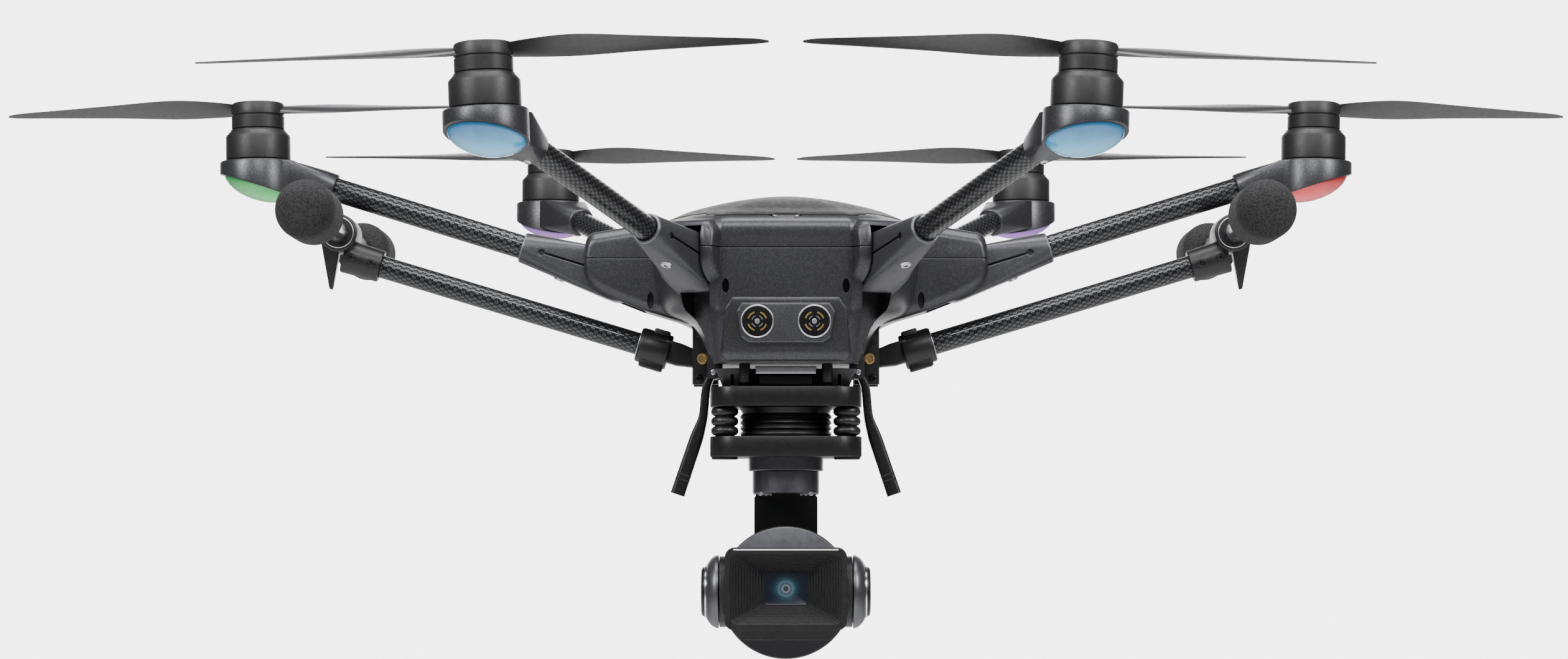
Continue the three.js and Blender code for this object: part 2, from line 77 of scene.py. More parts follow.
# A bright wall behind the drone and a dimmer room round the rest.
world = bpy.data.worlds.new("studio")
world.use_nodes = True
sky = world.node_tree
direction = sky.nodes.new("ShaderNodeTexCoord")
axes = sky.nodes.new("ShaderNodeSeparateXYZ")
wall = sky.nodes.new("ShaderNodeValToRGB")
dim, bright = wall.color_ramp.elements
dim.position, dim.color = 0.84, (0.04, 0.04, 0.041, 1)
bright.position, bright.color = 0.965, (1, 1, 1, 1)
sky.links.new(direction.outputs["Generated"], axes.inputs["Vector"])
sky.links.new(axes.outputs["Y"], wall.inputs["Fac"])
sky.links.new(wall.outputs["Color"], sky.nodes["Background"].inputs["Color"])
sky.nodes["Background"].inputs["Strength"].default_value = 5.0
bpy.context.scene.world = world

# ---------- materials


class Nodes:
    """A small builder for one procedural material."""

    def __init__(self, name):
        self.material = bpy.data.materials.new(name)
        self.material.use_nodes = True
        self.tree = self.material.node_tree
        self.shader = self.tree.nodes["Principled BSDF"]
        self.coords = self.add("ShaderNodeTexCoord").outputs["Object"]

    def add(self, kind, **settings):
        node = self.tree.nodes.new(kind)
        for key, value in settings.items():
            setattr(node, key, value)
        return node

    def link(self, source, target):
        self.tree.links.new(source, target)

    def drive(self, source, socket):
        self.link(source, self.shader.inputs[socket])

    def texture(self, kind, **values):
        node = self.add(kind)
        for key, value in values.items():
            node.inputs[key].default_value = value
        self.link(self.coords, node.inputs["Vector"])
        return node

    def noise(self, scale, detail=2.0):
        return self.texture("ShaderNodeTexNoise", Scale=scale, Detail=detail).outputs["Fac"]

    def axes(self):
        node = self.texture("ShaderNodeSeparateXYZ")
        return [node.outputs[k] for k in "XYZ"]

    def ramp(self, source, stops):
        node = self.add("ShaderNodeValToRGB")
        while len(node.color_ramp.elements) < len(stops):
            node.color_ramp.elements.new(0.5)
        for element, (place, colour) in zip(node.color_ramp.elements, stops):
            element.position = place
            element.color = (*colour, 1.0)
        self.link(source, node.inputs["Fac"])
        return node.outputs["Color"]

    def grey(self, source, low, high, start=0.3, stop=0.7):
        return self.ramp(source, [(start, (low,) * 3), (stop, (high,) * 3)])

    def bump(self, height, strength, distance):
        node = self.add("ShaderNodeBump")
        node.inputs["Strength"].default_value = strength
        node.inputs["Distance"].default_value = distance
        self.link(height, node.inputs["Height"])
        self.link(node.outputs["Normal"], self.shader.inputs["Normal"])
        return node

    def rounded(self, radius, bump):
        """Softens sharp edges in the shading, under the bump."""
        node = self.add("ShaderNodeBevel", samples=4)
        node.inputs["Radius"].default_value = radius
        self.link(node.outputs["Normal"], bump.inputs["Normal"])

    def math(self, operation, a, b=None):
        node = self.add("ShaderNodeMath", operation=operation)
        for socket, value in zip(node.inputs, (a, b)):
            if isinstance(value, (int, float)):
                socket.default_value = value
            elif value is not None:
                self.link(value, socket)
        return node.outputs["Value"]

    def mix(self, factor, a, b):
        node = self.add("ShaderNodeMix", data_type="RGBA")
        sockets = [s for s in node.inputs if s.type == "RGBA"]
        for socket, value in ((node.inputs[0], factor), (sockets[0], a), (sockets[1], b)):
            if isinstance(value, tuple):
                socket.default_value = (*value, 1.0)
            else:
                self.link(value, socket)
        return [s for s in node.outputs if s.type == "RGBA"][0]

    def set(self, **values):
        for key, value in values.items():
            self.shader.inputs[key.replace("_", " ")].default_value = value


def flecked_plastic(name, dark, light, rough, metallic, fleck=0.35, edge=0.0007):
    """Moulded plastic with metallic flecks."""
    m = Nodes(name)
    m.set(Metallic=metallic, Specular_IOR_Level=0.35)
    grain = m.texture("ShaderNodeTexVoronoi", Scale=2600.0)
    flecks = m.grey(grain.outputs["Distance"], 1.0, 0.0, 0.12, 0.34)
    cloud = m.ramp(m.noise(40.0, 3.0), [(0.35, dark), (0.7, tuple(c * 1.12 for c in dark))])
    some = m.math("MULTIPLY", flecks, m.grey(m.noise(900.0, 1.0), 0.0, fleck, 0.42, 0.6))
    m.drive(m.mix(some, cloud, light), "Base Color")
    m.drive(m.grey(m.noise(1400.0), rough - 0.06, rough + 0.08), "Roughness")
    bump = m.bump(m.noise(2200.0, 1.0), 0.12, 0.0001)
    m.rounded(edge, bump)
    return m.material


def satin(
    name, colour, rough, metallic=0.0, grain=1500.0, depth=0.1, edge=0.0005, coat=0.0, shine=0.35
):
    """Plain moulded or painted surface with a fine grain."""
    m = Nodes(name)
    m.set(Metallic=metallic, Coat_Weight=coat, Specular_IOR_Level=shine)
    paler = tuple(c * 1.25 for c in colour)
    m.drive(m.ramp(m.noise(60.0, 3.0), [(0.3, colour), (0.75, paler)]), "Base Color")
    m.drive(m.grey(m.noise(400.0, 3.0), rough - 0.04, rough + 0.06), "Roughness")
    bump = m.bump(m.noise(grain, 1.0), depth, 0.0001)
    if edge:
        m.rounded(edge, bump)
    return m.material


def metal(name, colour, rough):
    m = Nodes(name)
    m.set(Metallic=1.0)
    paler = tuple(min(1.0, c * 1.06) for c in colour)
    m.drive(m.ramp(m.noise(300.0), [(0.3, colour), (0.7, paler)]), "Base Color")
    m.drive(m.grey(m.noise(800.0), rough, rough + 0.08), "Roughness")
    return m.material


def carbon(name, tube_radius, tow=1.25):
    """Plain-woven cloth round a tube along its own X axis; the radius and tow are in mm."""
    m = Nodes(name)
    x, y, z = m.axes()
    rows = round(math.pi * tube_radius / tow) * 2
    a = m.math("DIVIDE", x, 1.7 * tow * MM)
    b = m.math("MULTIPLY", m.math("ARCTAN2", z, y), rows / (2 * math.pi))
    step = m.math("ADD", m.math("FLOOR", a), m.math("FLOOR", b))
    over = m.math("LESS_THAN", m.math("FLOORED_MODULO", step, 2.0), 0.5)
    wave_a = m.math("ABSOLUTE", m.math("SINE", m.math("MULTIPLY", a, math.pi)))
    wave_b = m.math("ABSOLUTE", m.math("SINE", m.math("MULTIPLY", b, math.pi)))
    part_a = m.math("MULTIPLY", wave_b, over)
    part_b = m.math("MULTIPLY", wave_a, m.math("SUBTRACT", 1.0, over))
    height = m.math("ADD", part_a, part_b)
    tone = m.math("ADD", m.math("MULTIPLY", over, 0.6), m.math("MULTIPLY", height, 0.4))
    stops = [(0.2, (0.0012, 0.0012, 0.0014)), (0.95, (0.046, 0.047, 0.050))]
    m.drive(m.ramp(tone, stops), "Base Color")
    m.drive(m.grey(tone, 0.5, 0.26, 0.2, 0.9), "Roughness")
    m.set(Metallic=0.7, Coat_Weight=0.3, Coat_Roughness=0.06, Specular_IOR_Level=0.2)
    m.bump(height, 0.35, 0.0003)
    return m.material


def foam(name):
    m = Nodes(name)
    cells = m.texture("ShaderNodeTexVoronoi", Scale=900.0)
    stops = [(0.05, (0.004, 0.004, 0.004)), (0.6, (0.020, 0.020, 0.021))]
    m.drive(m.ramp(cells.outputs["Distance"], stops), "Base Color")
    m.drive(m.grey(m.noise(500.0), 0.82, 0.95), "Roughness")
    m.set(Specular_IOR_Level=0.2)
    m.bump(cells.outputs["Distance"], 0.5, 0.0005)
    return m.material


def lamp(name, rim_shaded_tint, pale, glow):
    """Tinted diffuser lit from inside, with painted shade: colour and glow darken towards the rim
    and are palest at the bottom of the dome.
    """
    m = Nodes(name)
    _, _, z = m.axes()
    bottom, depth = 83 * MM, 12 * MM
    level = m.math("DIVIDE", m.math("SUBTRACT", z, bottom), depth)
    drift = m.math("MULTIPLY", m.math("SUBTRACT", m.noise(160.0), 0.5), 0.25)
    cloudy = m.math("ADD", level, drift)
    # painted shade: the tint darkens with height towards the rim and is palest at the bottom of
    # the dome
    colour = m.ramp(cloudy, [(0.15, pale), (0.8, rim_shaded_tint)])
    m.drive(colour, "Base Color")
    m.drive(colour, "Emission Color")
    m.drive(m.grey(m.noise(700.0), 0.16, 0.26), "Roughness")
    m.set(Emission_Strength=glow, Coat_Weight=0.6)
    return m.material


def glass_with_painted_rings(name):
    """Front lens: rings of blue and teal round a dark middle, along the lens's own Z axis; the
    dark middle is the lens's own, the rings and the paler centre spot are painted reflections of
    its inner rims.
    """
    m = Nodes(name)
    x, y, _ = m.axes()
    reach = 9.5 * MM  # the distance from the middle at which the rings end
    squares = m.math("ADD", m.math("MULTIPLY", x, x), m.math("MULTIPLY", y, y))
    radius = m.math("DIVIDE", m.math("SQRT", squares), reach)
    # Painted reflections: bright rings and a paler centre spot in the base colour.
    stops = [
        (0.0, (0.06, 0.07, 0.08)),
        (0.09, (0.01, 0.01, 0.012)),
        (0.17, (0.13, 0.16, 0.19)),
        (0.26, (0.03, 0.05, 0.07)),
        (0.36, (0.06, 0.11, 0.13)),
        (0.45, (0.014, 0.05, 0.065)),
        (0.62, (0.005, 0.018, 0.03)),
        (0.85, (0.003, 0.006, 0.014)),
    ]
    m.drive(m.ramp(radius, stops), "Base Color")
    m.drive(m.grey(m.noise(200.0), 0.04, 0.09), "Roughness")
    m.set(Coat_Weight=1.0, Coat_Roughness=0.03, Metallic=0.3)
    return m.material


def circuit(name):
    m = Nodes(name)
    colours = {"Color1": (0.01, 0.10, 0.05, 1), "Color2": (0.02, 0.14, 0.07, 1)}
    colours["Mortar"] = (0.25, 0.2, 0.08, 1)
    bricks = m.texture("ShaderNodeTexBrick", Scale=160.0, **colours)
    m.drive(bricks.outputs["Color"], "Base Color")
    m.drive(m.grey(m.noise(500.0), 0.4, 0.6), "Roughness")
    return m.material


SHELL = flecked_plastic("shell_flecked", (0.034, 0.034, 0.037), (0.34, 0.35, 0.38), 0.37, 0.7, 0.3)
BEZEL = flecked_plastic("bezel_flecked", (0.044, 0.044, 0.048), (0.38, 0.39, 0.42), 0.37, 0.65)
KNUCKLE = flecked_plastic(
    "knuckle_flecked", (0.042, 0.042, 0.046), (0.38, 0.39, 0.41), 0.37, 0.65, 0.25
)
LIP = flecked_plastic("lip_grey", (0.10, 0.101, 0.108), (0.4, 0.4, 0.42), 0.34, 0.5, 0.2)
BLACK = satin("satin_black", (0.006, 0.006, 0.0065), 0.36, 0.3)
GUNMETAL = satin("gunmetal", (0.075, 0.075, 0.082), 0.36, 0.85)
MOTOR = satin("motor_black", (0.010, 0.010, 0.0105), 0.46, 0.3)
CAMERA_BLACK = satin("camera_black", (0.010, 0.010, 0.0105), 0.42, 0.4)
GLOSS = satin(
    "gloss_black", (0.008, 0.008, 0.009), 0.10, grain=300.0, depth=0.02, edge=0.0003, coat=0.8
)
VISOR = satin(
    "visor_black", (0.005, 0.005, 0.0055), 0.42, grain=300.0, depth=0.02, edge=0.0, shine=0.08
)
GEAR = satin("gear_black", (0.0045, 0.0045, 0.005), 0.42, 0.1)
DARK = satin("deep_black", (0.006, 0.006, 0.007), 0.6)
BLADE = satin("blade_black", (0.012, 0.012, 0.013), 0.34, grain=900.0, depth=0.05, edge=0.0)
RUBBER = satin("rubber", (0.005, 0.005, 0.0055), 0.38, grain=700.0, depth=0.15, edge=0.0)
BATTERY = flecked_plastic("battery_case", (0.05, 0.052, 0.057), (0.4, 0.41, 0.43), 0.45, 0.3, 0.25)
CHROME = metal("chrome", (0.82, 0.82, 0.85), 0.1)
STEEL = metal("steel", (0.45, 0.45, 0.47), 0.28)
BRASS = metal("brass", (0.72, 0.50, 0.22), 0.22)
GOLD = metal("gold", (0.55, 0.38, 0.10), 0.3)
FOAM = foam("foam")
ARM_TUBE_R, LEG_TUBE_R = 5.9, 5.5
ARM_CARBON = carbon("carbon_arm", ARM_TUBE_R)
LEG_CARBON = carbon("carbon_leg", LEG_TUBE_R)
GLASS = glass_with_painted_rings("lens_painted_reflections")
PALE_LINE = satin("pale_line", (0.5, 0.5, 0.51), 0.4)
BOARD = circuit("circuit_board")
# Lamp tints: the first colour is painted shade under the rim, the second the pale bottom of the
# dome.
LAMP_FRONT = lamp("lamp_front", (0.008, 0.12, 0.26), (0.05, 0.36, 0.60), 0.22)
LAMP_GREEN = lamp("lamp_green", (0.003, 0.20, 0.03), (0.015, 0.46, 0.07), 0.24)
LAMP_RED = lamp("lamp_red", (0.30, 0.002, 0.004), (0.72, 0.006, 0.010), 0.3)
LAMP_REAR = lamp("lamp_rear", (0.07, 0.012, 0.17), (0.24, 0.07, 0.42), 0.24)

# ---------- shapes, drawn in millimetres


def mesh_object(name, points, faces, crease=32):
    mesh = bpy.data.meshes.new(name)
    mesh.from_pydata([Vector(p) * MM for p in points], [], faces)
    bm = bmesh.new()
    bm.from_mesh(mesh)
    bmesh.ops.remove_doubles(bm, verts=bm.verts, dist=1e-7)
    return placed(name, mesh, bm, crease)


def placed(name, mesh, bm, crease):
    """Writes the edited mesh back and puts it in the scene."""
    bmesh.ops.recalc_face_normals(bm, faces=bm.faces)
    bm.to_mesh(mesh)
    bm.free()
    obj = bpy.data.objects.new(name, mesh)
    bpy.context.scene.collection.objects.link(obj)
    shade(obj, crease)
    return obj


def shade(obj, crease=32):
    obj.data.shade_smooth()
    obj.data.set_sharp_from_angle(angle=rad(crease))


def turned(name, profile, sides=64, crease=32):
    """A body turned about Z from (radius, height) points that start and end on the axis."""
    points, rings = [], []
    for r, z in profile:
        if r < 1e-6:
            rings.append([len(points)])
            points.append((0, 0, z))
            continue
        rings.append(list(range(len(points), len(points) + sides)))
        for i in range(sides):
            t = 2 * math.pi * i / sides
            points.append((r * math.cos(t), r * math.sin(t), z))
    faces = []
    for low, high in zip(rings, rings[1:]):
        for i in range(sides):
            j = (i + 1) % sides
            if len(low) == 1:
                faces.append((low[0], high[j], high[i]))
            elif len(high) == 1:
                faces.append((low[i], low[j], high[0]))
            else:
                faces.append((low[i], low[j], high[j], high[i]))
    return mesh_object(name, points, faces, crease)


def rounded_disc(name, r, z0, z1, fillet, sides=64):
    inner, low, high = r - fillet, z0 + fillet, z1 - fillet
    turns = [rad(90 * k / 4) for k in range(5)]
    profile = [(inner + fillet * math.sin(t), low - fillet * math.cos(t)) for t in turns]
    profile += [(inner + fillet * math.cos(t), high + fillet * math.sin(t)) for t in turns]
    return turned(name, [(0, z0), *profile, (0, z1)], sides)


def ring_shape(name, r, tube, sides=64, z=0.0):
    """A torus about Z."""
    points, faces, around = [], [], 12
    for i in range(sides):
        t = 2 * math.pi * i / sides
        for k in range(around):
            p = 2 * math.pi * k / around
            reach = r + tube * math.cos(p)
            points.append((reach * math.cos(t), reach * math.sin(t), z + tube * math.sin(p)))
    for i in range(sides):
        for k in range(around):
            a, b = i * around, ((i + 1) % sides) * around
            n = (k + 1) % around
            faces.append((a + k, b + k, b + n, a + n))
    return mesh_object(name, points, faces, 60)


def lofted(name, rings, crease=32):
    count = len(rings[0])
    points = [p for ring in rings for p in ring]
    faces = [tuple(reversed(range(count))), tuple(range(len(points) - count, len(points)))]
    for level in range(len(rings) - 1):
        for i in range(count):
            j = (i + 1) % count
            a, b = level * count, (level + 1) * count
            faces.append((a + i, a + j, b + j, b + i))
    return mesh_object(name, points, faces, crease)


def hull(name, points, crease=32):
    mesh = bpy.data.meshes.new(name)
    bm = bmesh.new()
    for p in points:
        bm.verts.new(Vector(p) * MM)
    bmesh.ops.convex_hull(bm, input=bm.verts)
    loose = [v for v in bm.verts if not v.link_faces]
    bmesh.ops.delete(bm, geom=loose, context="VERTS")
    bmesh.ops.dissolve_limit(bm, angle_limit=rad(0.5), verts=bm.verts, edges=bm.edges)
    return placed(name, mesh, bm, crease)


def box(name, x0, x1, y0, y1, z0, z1):
    return hull(name, corners(x0, x1, y0, y1, z0, z1))


def corners(x0, x1, y0, y1, z0, z1):
    return [(x, y, z) for x in (x0, x1) for y in (y0, y1) for z in (z0, z1)]


def outline(width, depth, radius, steps=6):
    """The (x, y) points of a rectangle with rounded corners."""
    points = []
    for quarter, (sx, sy) in enumerate(((1, 1), (-1, 1), (-1, -1), (1, -1))):
        for i in range(steps + 1):
            t = (quarter + i / steps) * math.pi / 2
            x = sx * (width / 2 - radius) + radius * math.cos(t)
            y = sy * (depth / 2 - radius) + radius * math.sin(t)
            points.append((x, y))
    return points


def slab(name, width, depth, radius, z0, z1, fillet=0.0):
    """A plate with rounded corners, its top and bottom edges softened."""
    levels = [(z0, 0.0), (z1, 0.0)]
    if fillet:
        levels = [(z0, fillet), (z0 + 0.3 * fillet, 0.3 * fillet), (z0 + fillet, 0.0)]
        levels += [(z1 - fillet, 0.0), (z1 - 0.3 * fillet, 0.3 * fillet), (z1, fillet)]
    rings = []
    for z, inset in levels:
        edge = outline(width - 2 * inset, depth - 2 * inset, radius - inset)
        rings.append([(x, y, z) for x, y in edge])
    return lofted(name, rings)


def swept(name, path, half_y):
    """A flat strip along a path of (x, y, z, half width) points in a plane of constant Y."""
    rings = []
    for i, (x, y, z, half) in enumerate(path):
        before, after = path[max(0, i - 1)], path[min(len(path) - 1, i + 1)]
        along = Vector((after[0] - before[0], 0, after[2] - before[2])).normalized()
        across = Vector((along.z, 0, -along.x))
        centre = Vector((x, y, z))
        section = outline(2 * half, 2 * half_y, half * 0.5, 3)
        rings.append([tuple(centre + across * u + Vector((0, v, 0))) for u, v in section])
    return lofted(name, rings)


def in_metres(matrix):
    scaled = matrix.copy()
    scaled.translation *= MM
    return scaled


def moved(obj, matrix):
    """Bakes a transform, in millimetres, into the mesh."""
    obj.data.transform(in_metres(matrix))
    if matrix.determinant() < 0:
        obj.data.flip_normals()
    return obj


def at(x, y, z):
    return Matrix.Translation((x, y, z))


def turn(angle, axis):
    return Matrix.Rotation(rad(angle), 4, axis)


def baked(obj, crease=32):
    """Applies the modifiers."""
    bpy.context.view_layer.update()
    graph = bpy.context.evaluated_depsgraph_get()
    fresh = bpy.data.meshes.new_from_object(obj.evaluated_get(graph))
    obj.modifiers.clear()
    obj.data = fresh
    shade(obj, crease)
    return obj


def bevelled(obj, width, segments=3, angle=32, crease=40):
    modifier = obj.modifiers.new("edge", "BEVEL")
    modifier.width = width * MM
    modifier.segments = segments
    modifier.limit_method = "ANGLE"
    modifier.angle_limit = rad(angle)
    return baked(obj, crease)


def combined(obj, others, operation, crease=32):
    """Adds, cuts or keeps what is shared with the other bodies, which are used up."""
    for other in others:
        modifier = obj.modifiers.new("solid", "BOOLEAN")
        modifier.operation = operation
        modifier.solver = "EXACT"
        modifier.object = other
    baked(obj, crease)
    for other in others:
        bpy.data.objects.remove(other)
    return obj


def cut(obj, *tools, crease=32):
    return combined(obj, tools, "DIFFERENCE", crease)


def join(obj, *others, crease=32):
    return combined(obj, others, "UNION", crease)


def copy_of(obj, name):
    twin = obj.copy()
    twin.name = name
    bpy.context.scene.collection.objects.link(twin)
    return twin


OWN_AXES = (ARM_CARBON, LEG_CARBON, GLASS)  # finishes that follow the piece's own axes
MATERIAL_SLOTS = {row["node"]: row["material_slot"] for row in frame["record"]["subparts"]}
LAMPS = (LAMP_FRONT, LAMP_GREEN, LAMP_RED, LAMP_REAR)
# The record's slot for a piece that stands for no CAD node, by its finish.
USUAL_SLOTS = {
    "satin_black": (BLACK, GUNMETAL, MOTOR, GLASS, GLOSS, DARK, GEAR),
    "bright_metal": (STEEL, CHROME, GOLD, BRASS, PALE_LINE),
    "shell_grey": (SHELL, VISOR, *LAMPS),
    "knuckle_grey": (LIP,),
    "damper_rubber": (RUBBER,),
    "foot_foam": (FOAM,),
}


def fit(obj, body, material, *nodes, matrix=None, slot=None):
    """Gives a piece its place, finish and body, and hides the CAD nodes it stands for."""
    if matrix is not None and material in OWN_AXES:
        obj.matrix_world = in_metres(matrix)
    elif matrix is not None:
        obj.data = obj.data.copy()
        moved(obj, matrix)
    obj.data.materials.clear()
    obj.data.materials.append(material)
    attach(obj, body)
    if nodes:
        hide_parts(*nodes)
        slot = MATERIAL_SLOTS[nodes[0]]
    slot or next(key for key, group in USUAL_SLOTS.items() if material in group)
    return obj


# ---------- fuselage

# Height, then the right half's outline as (x, y) points from the front to the rear.
LOWER_LEVELS = [
    (1, [
        (20, -80), (31, -79.5), (34, -70), (34.5, -42), (35, -20),
        (35, 10), (35, 45), (34, 74), (31, 88), (20, 92),
    ]),
    (21, [
        (22, -85.5), (33, -84.5), (39, -74), (43, -48), (45, -20),
        (45, 10), (45, 45), (42, 74), (34, 92), (21, 97),
    ]),
    (30, [
        (22, -86), (33, -85), (44, -76), (54, -50), (60, -20),
        (60, 10), (57, 45), (48, 76), (36, 93), (22, 98),
    ]),
    (54.5, [
        (22, -86), (33, -85), (46, -75), (58, -50), (65, -20),
        (66, 10), (62, 45), (52, 76), (38, 93), (22, 99),
    ]),
]
UPPER_LEVELS = [
    (54.9, LOWER_LEVELS[3][1]),
    (68, [
        (22, -85.5), (32, -84), (44, -73), (55, -48), (62, -20),
        (63, 10), (58, 45), (47, 76), (34, 92), (20, 96),
    ]),
    (75, [
        (18, -64), (27, -61), (38, -53), (47, -36), (52, -15),
        (52, 12), (48, 44), (39, 68), (28, 82), (17, 86),
    ]),
    (80, [
        (12, -46), (18, -44), (26, -38), (32, -26), (34, -12),
        (34, 12), (32, 38), (27, 56), (19, 68), (11, 72),
    ]),
    (83, [
        (7, -30), (11, -29), (15, -25), (18, -17), (20, -8),
        (20, 10), (18, 27), (15, 38), (11, 46), (6, 48),
    ]),
    (85, [
        (3, -14), (5, -13), (6.5, -11), (8, -7), (8.5, -3),
        (8.5, 6), (8, 13), (6.5, 18), (5, 21), (3, 22),
    ]),
]
# The side of an arm pod: (distance from the centre, height).
POD_PROFILE = [
    (30, 24), (45, 22), (70, 29.5), (84, 35), (92, 39), (96.5, 43), (99, 48.5),
    (98.6, 60), (97.6, 65), (95, 67.4), (52, 74.5), (30, 77),
]


def spline(points, steps, closed=True):
    """A smooth line through the points."""
    count = len(points)
    made = []
    for i in range(count if closed else count - 1):
        near = range(i - 1, i + 3)
        if closed:
            a, b, c, d = (Vector(points[k % count]) for k in near)
        else:
            a, b, c, d = (Vector(points[min(count - 1, max(0, k))]) for k in near)
        for k in range(steps):
            t = k / steps
            low = 2 * b + (c - a) * t + (2 * a - 5 * b + 4 * c - d) * t * t
            made.append(0.5 * (low + (3 * b - a - 3 * c + d) * t ** 3))
    if not closed:
        made.append(Vector(points[-1]))
    return made


def fuselage_rings(levels, up=6, grow=0.0):
    """Smooth closed rings through the levels, grown outward a little for a skin piece."""
    columns = []
    width = len(levels[0][1]) * 2
    for i in range(width):
        column = []
        for z, half in levels:
            x, y = half[i] if i < width // 2 else half[width - 1 - i]
            side = 1 if i < width // 2 else -1
            column.append((side * x, y, z))
        columns.append(spline(column, up, closed=False))
    rings = []
    for level in range(len(columns[0])):
        ring = spline([column[level] for column in columns], 5)
        z = sum(p.z for p in ring) / len(ring)
        wider, longer, rise = 1 + grow / 40, 1 + grow / 70, 0.3 * grow
        rings.append([(p.x * wider, p.y * longer, z + rise) for p in ring])
    return rings


def pod(name, angle):
    points = []
    for r, z in POD_PROFILE:
        tight = z - 4 if z > 55 else z + 3
        points += [(r, 12.5, z), (r, -12.5, z), (r - 1.5, 16.2, tight), (r - 1.5, -16.2, tight)]
    return moved(bevelled(hull(name, points), 1.6, 3, 20), turn(angle, "Z"))


def slot_room(angle):
    return moved(box("room", 68.9, 130, -10.6, 10.6, -20, 64.6), turn(angle, "Z"))


# Name, direction in degrees, the motor's lean, the way it turns and its lamp.
ARMS = [
    ("fr", -60, 2.5, 1, LAMP_FRONT),
    ("mr", 0, 1, -1, LAMP_RED),
    ("rr", 60, 0, 1, LAMP_REAR),
    ("rl", 120, 0, -1, LAMP_REAR),
    ("ml", 180, -1, 1, LAMP_GREEN),
    ("fl", -120, -2.5, -1, LAMP_FRONT),
]


def shell_body(name, levels, keep):
    body = lofted(name, fuselage_rings(levels))
    pods = [pod(f"pod_{arm[0]}", arm[1]) for arm in ARMS]
    body = join(body, *pods)
    body = combined(body, [box("keep", -200, 200, -200, 200, *keep)], "INTERSECT")
    return cut(body, *[slot_room(arm[1]) for arm in ARMS])


def oval_hole(x, y, z, width, height, depth=6.0):
    """A tool that cuts an oval hole along Y."""
    tool = rounded_disc("tool", 1.0, -depth, depth, 0.01, 24)
    stretched = Matrix.Diagonal((width / 2, height / 2, 1, 1))
    return moved(tool, at(x, y, z) @ turn(90, "X") @ stretched)


lower = shell_body("lower_shell_skin", LOWER_LEVELS, (0, 54.5))
gear_rooms = [box("room", x0, x0 + 27.3, -15.2, 15.2, -20, 23) for x0 in (32.7, -60)]
lugs = []
for x0 in (30.5, -37.6):
    lugs += [box("lug", x0, x0 + 7.1, y0, y0 + 2.4, -5.6, 6) for y0 in (-49.4, -33)]
lower = join(lower, box("pad", -20, 20, -4, 44, 0, 3), *lugs)
lower = cut(
    lower,
    *gear_rooms,
    box("bay", -23, 23, -42, 120, 5.5, 60),
    oval_hole(-28.3, -85, 36.4, 3.2, 7),
    oval_hole(28.3, -85, 36.4, 3.2, 7),
    oval_hole(-66, -17, 34, 3, 8),
    oval_hole(66, -17, 34, 3, 8),
)
fit(lower, "airframe", SHELL, "lower_shell")

TILT = at(0, -79, 69.6) @ turn(17, "X")  # the power button's place on the sloping front
upper = shell_body("upper_shell_skin", UPPER_LEVELS, (54.9, 85))
cavity = box("cavity", -24, 24, -56, 78, 40, 66)
button_room = moved(slab("room", 16.6, 10.6, 4.8, -3.4, 6), TILT)
upper = cut(upper, cavity, button_room, oval_hole(0, -50, 77.6, 1.8, 1.8, 12))
fit(upper, "airframe", SHELL, "upper_shell")


SKIN = 0.25  # how far the black band and panel stand proud of the shell


def visor():
    """The black band let into the front of the upper shell."""
    rings = fuselage_rings(UPPER_LEVELS, up=8, grow=SKIN)
    chosen = [ring for ring in rings if 69.4 < ring[0][2] < 77.4]
    reaches = (34, 38)  # half the width of the two lowest rings
    steps = 40
    points, faces = [], []
    for k, ring in enumerate(chosen):
        front = sorted([p for p in ring if p[1] < -8 and abs(p[0]) < 60], key=lambda p: p[0])
        picked = [front[round(i * (len(front) - 1) / steps)] for i in range(steps + 1)]
        if k < len(reaches):
            picked = [(max(-reaches[k], min(reaches[k], x)), y, z) for x, y, z in picked]
        points += picked
    for k in range(len(chosen) - 1):
        for i in range(steps):
            a = k * (steps + 1) + i
            faces.append((a, a + 1, a + steps + 2, a + steps + 1))
    return mesh_object("visor_band", points, faces, 60)


def crown_panel():
    """The black panel let into the crown of the upper shell, down to the black band."""
    rings = fuselage_rings(UPPER_LEVELS, up=8, grow=SKIN)
    return lofted("crown_panel", [ring for ring in rings if ring[0][2] > 76.8], 60)


fit(visor(), "airframe", VISOR)
fit(crown_panel(), "airframe", VISOR)

button = slab("power_button_cap", 11.4, 6.2, 3.0, -1.4, 1.9, 0.7)
fit(moved(button, TILT), "power_button", VISOR, "power_button")
rim = slab("power_button_ring", 15, 9.2, 4.2, -1.8, 1.5, 0.5)
rim = cut(rim, slab("tool", 11.8, 6.6, 3.2, -4, 4))
fit(moved(rim, TILT), "power_button", CHROME)

# Raised housing on the front of the lower shell, and the sonar bezel with its two transducers.
housing = []
for x, y, z in ((25.5, -87.0, 31.0), (28.5, -86.7, 26), (29.5, -84.6, 4.5), (26.5, -82.6, 1.2)):
    housing += [(side * x, y, z) for side in (1, -1)]
    housing += [(side * (x + 1.8), -80, z + (1.8 if z > 20 else 0)) for side in (1, -1)]
fit(bevelled(hull("sonar_housing", housing), 1.2, 3, 20), "airframe", SHELL)
plate_points = []
for grow, y in ((0, -86.3), (0, -87.4), (-0.5, -87.9)):
    trapezoid = [(20.8, 28.4), (23.3, 24.5), (21.2, 12.2), (17.5, 9.6)]
    for x, z in trapezoid:
        shift = grow if z > 19 else -grow
        plate_points += [(x + grow, y, z + shift), (-x - grow, y, z + shift)]
bezel = bevelled(hull("sonar_bezel_plate", plate_points), 0.6, 3, 25)
fit(bezel, "airframe", BEZEL, "sonar_bezel")
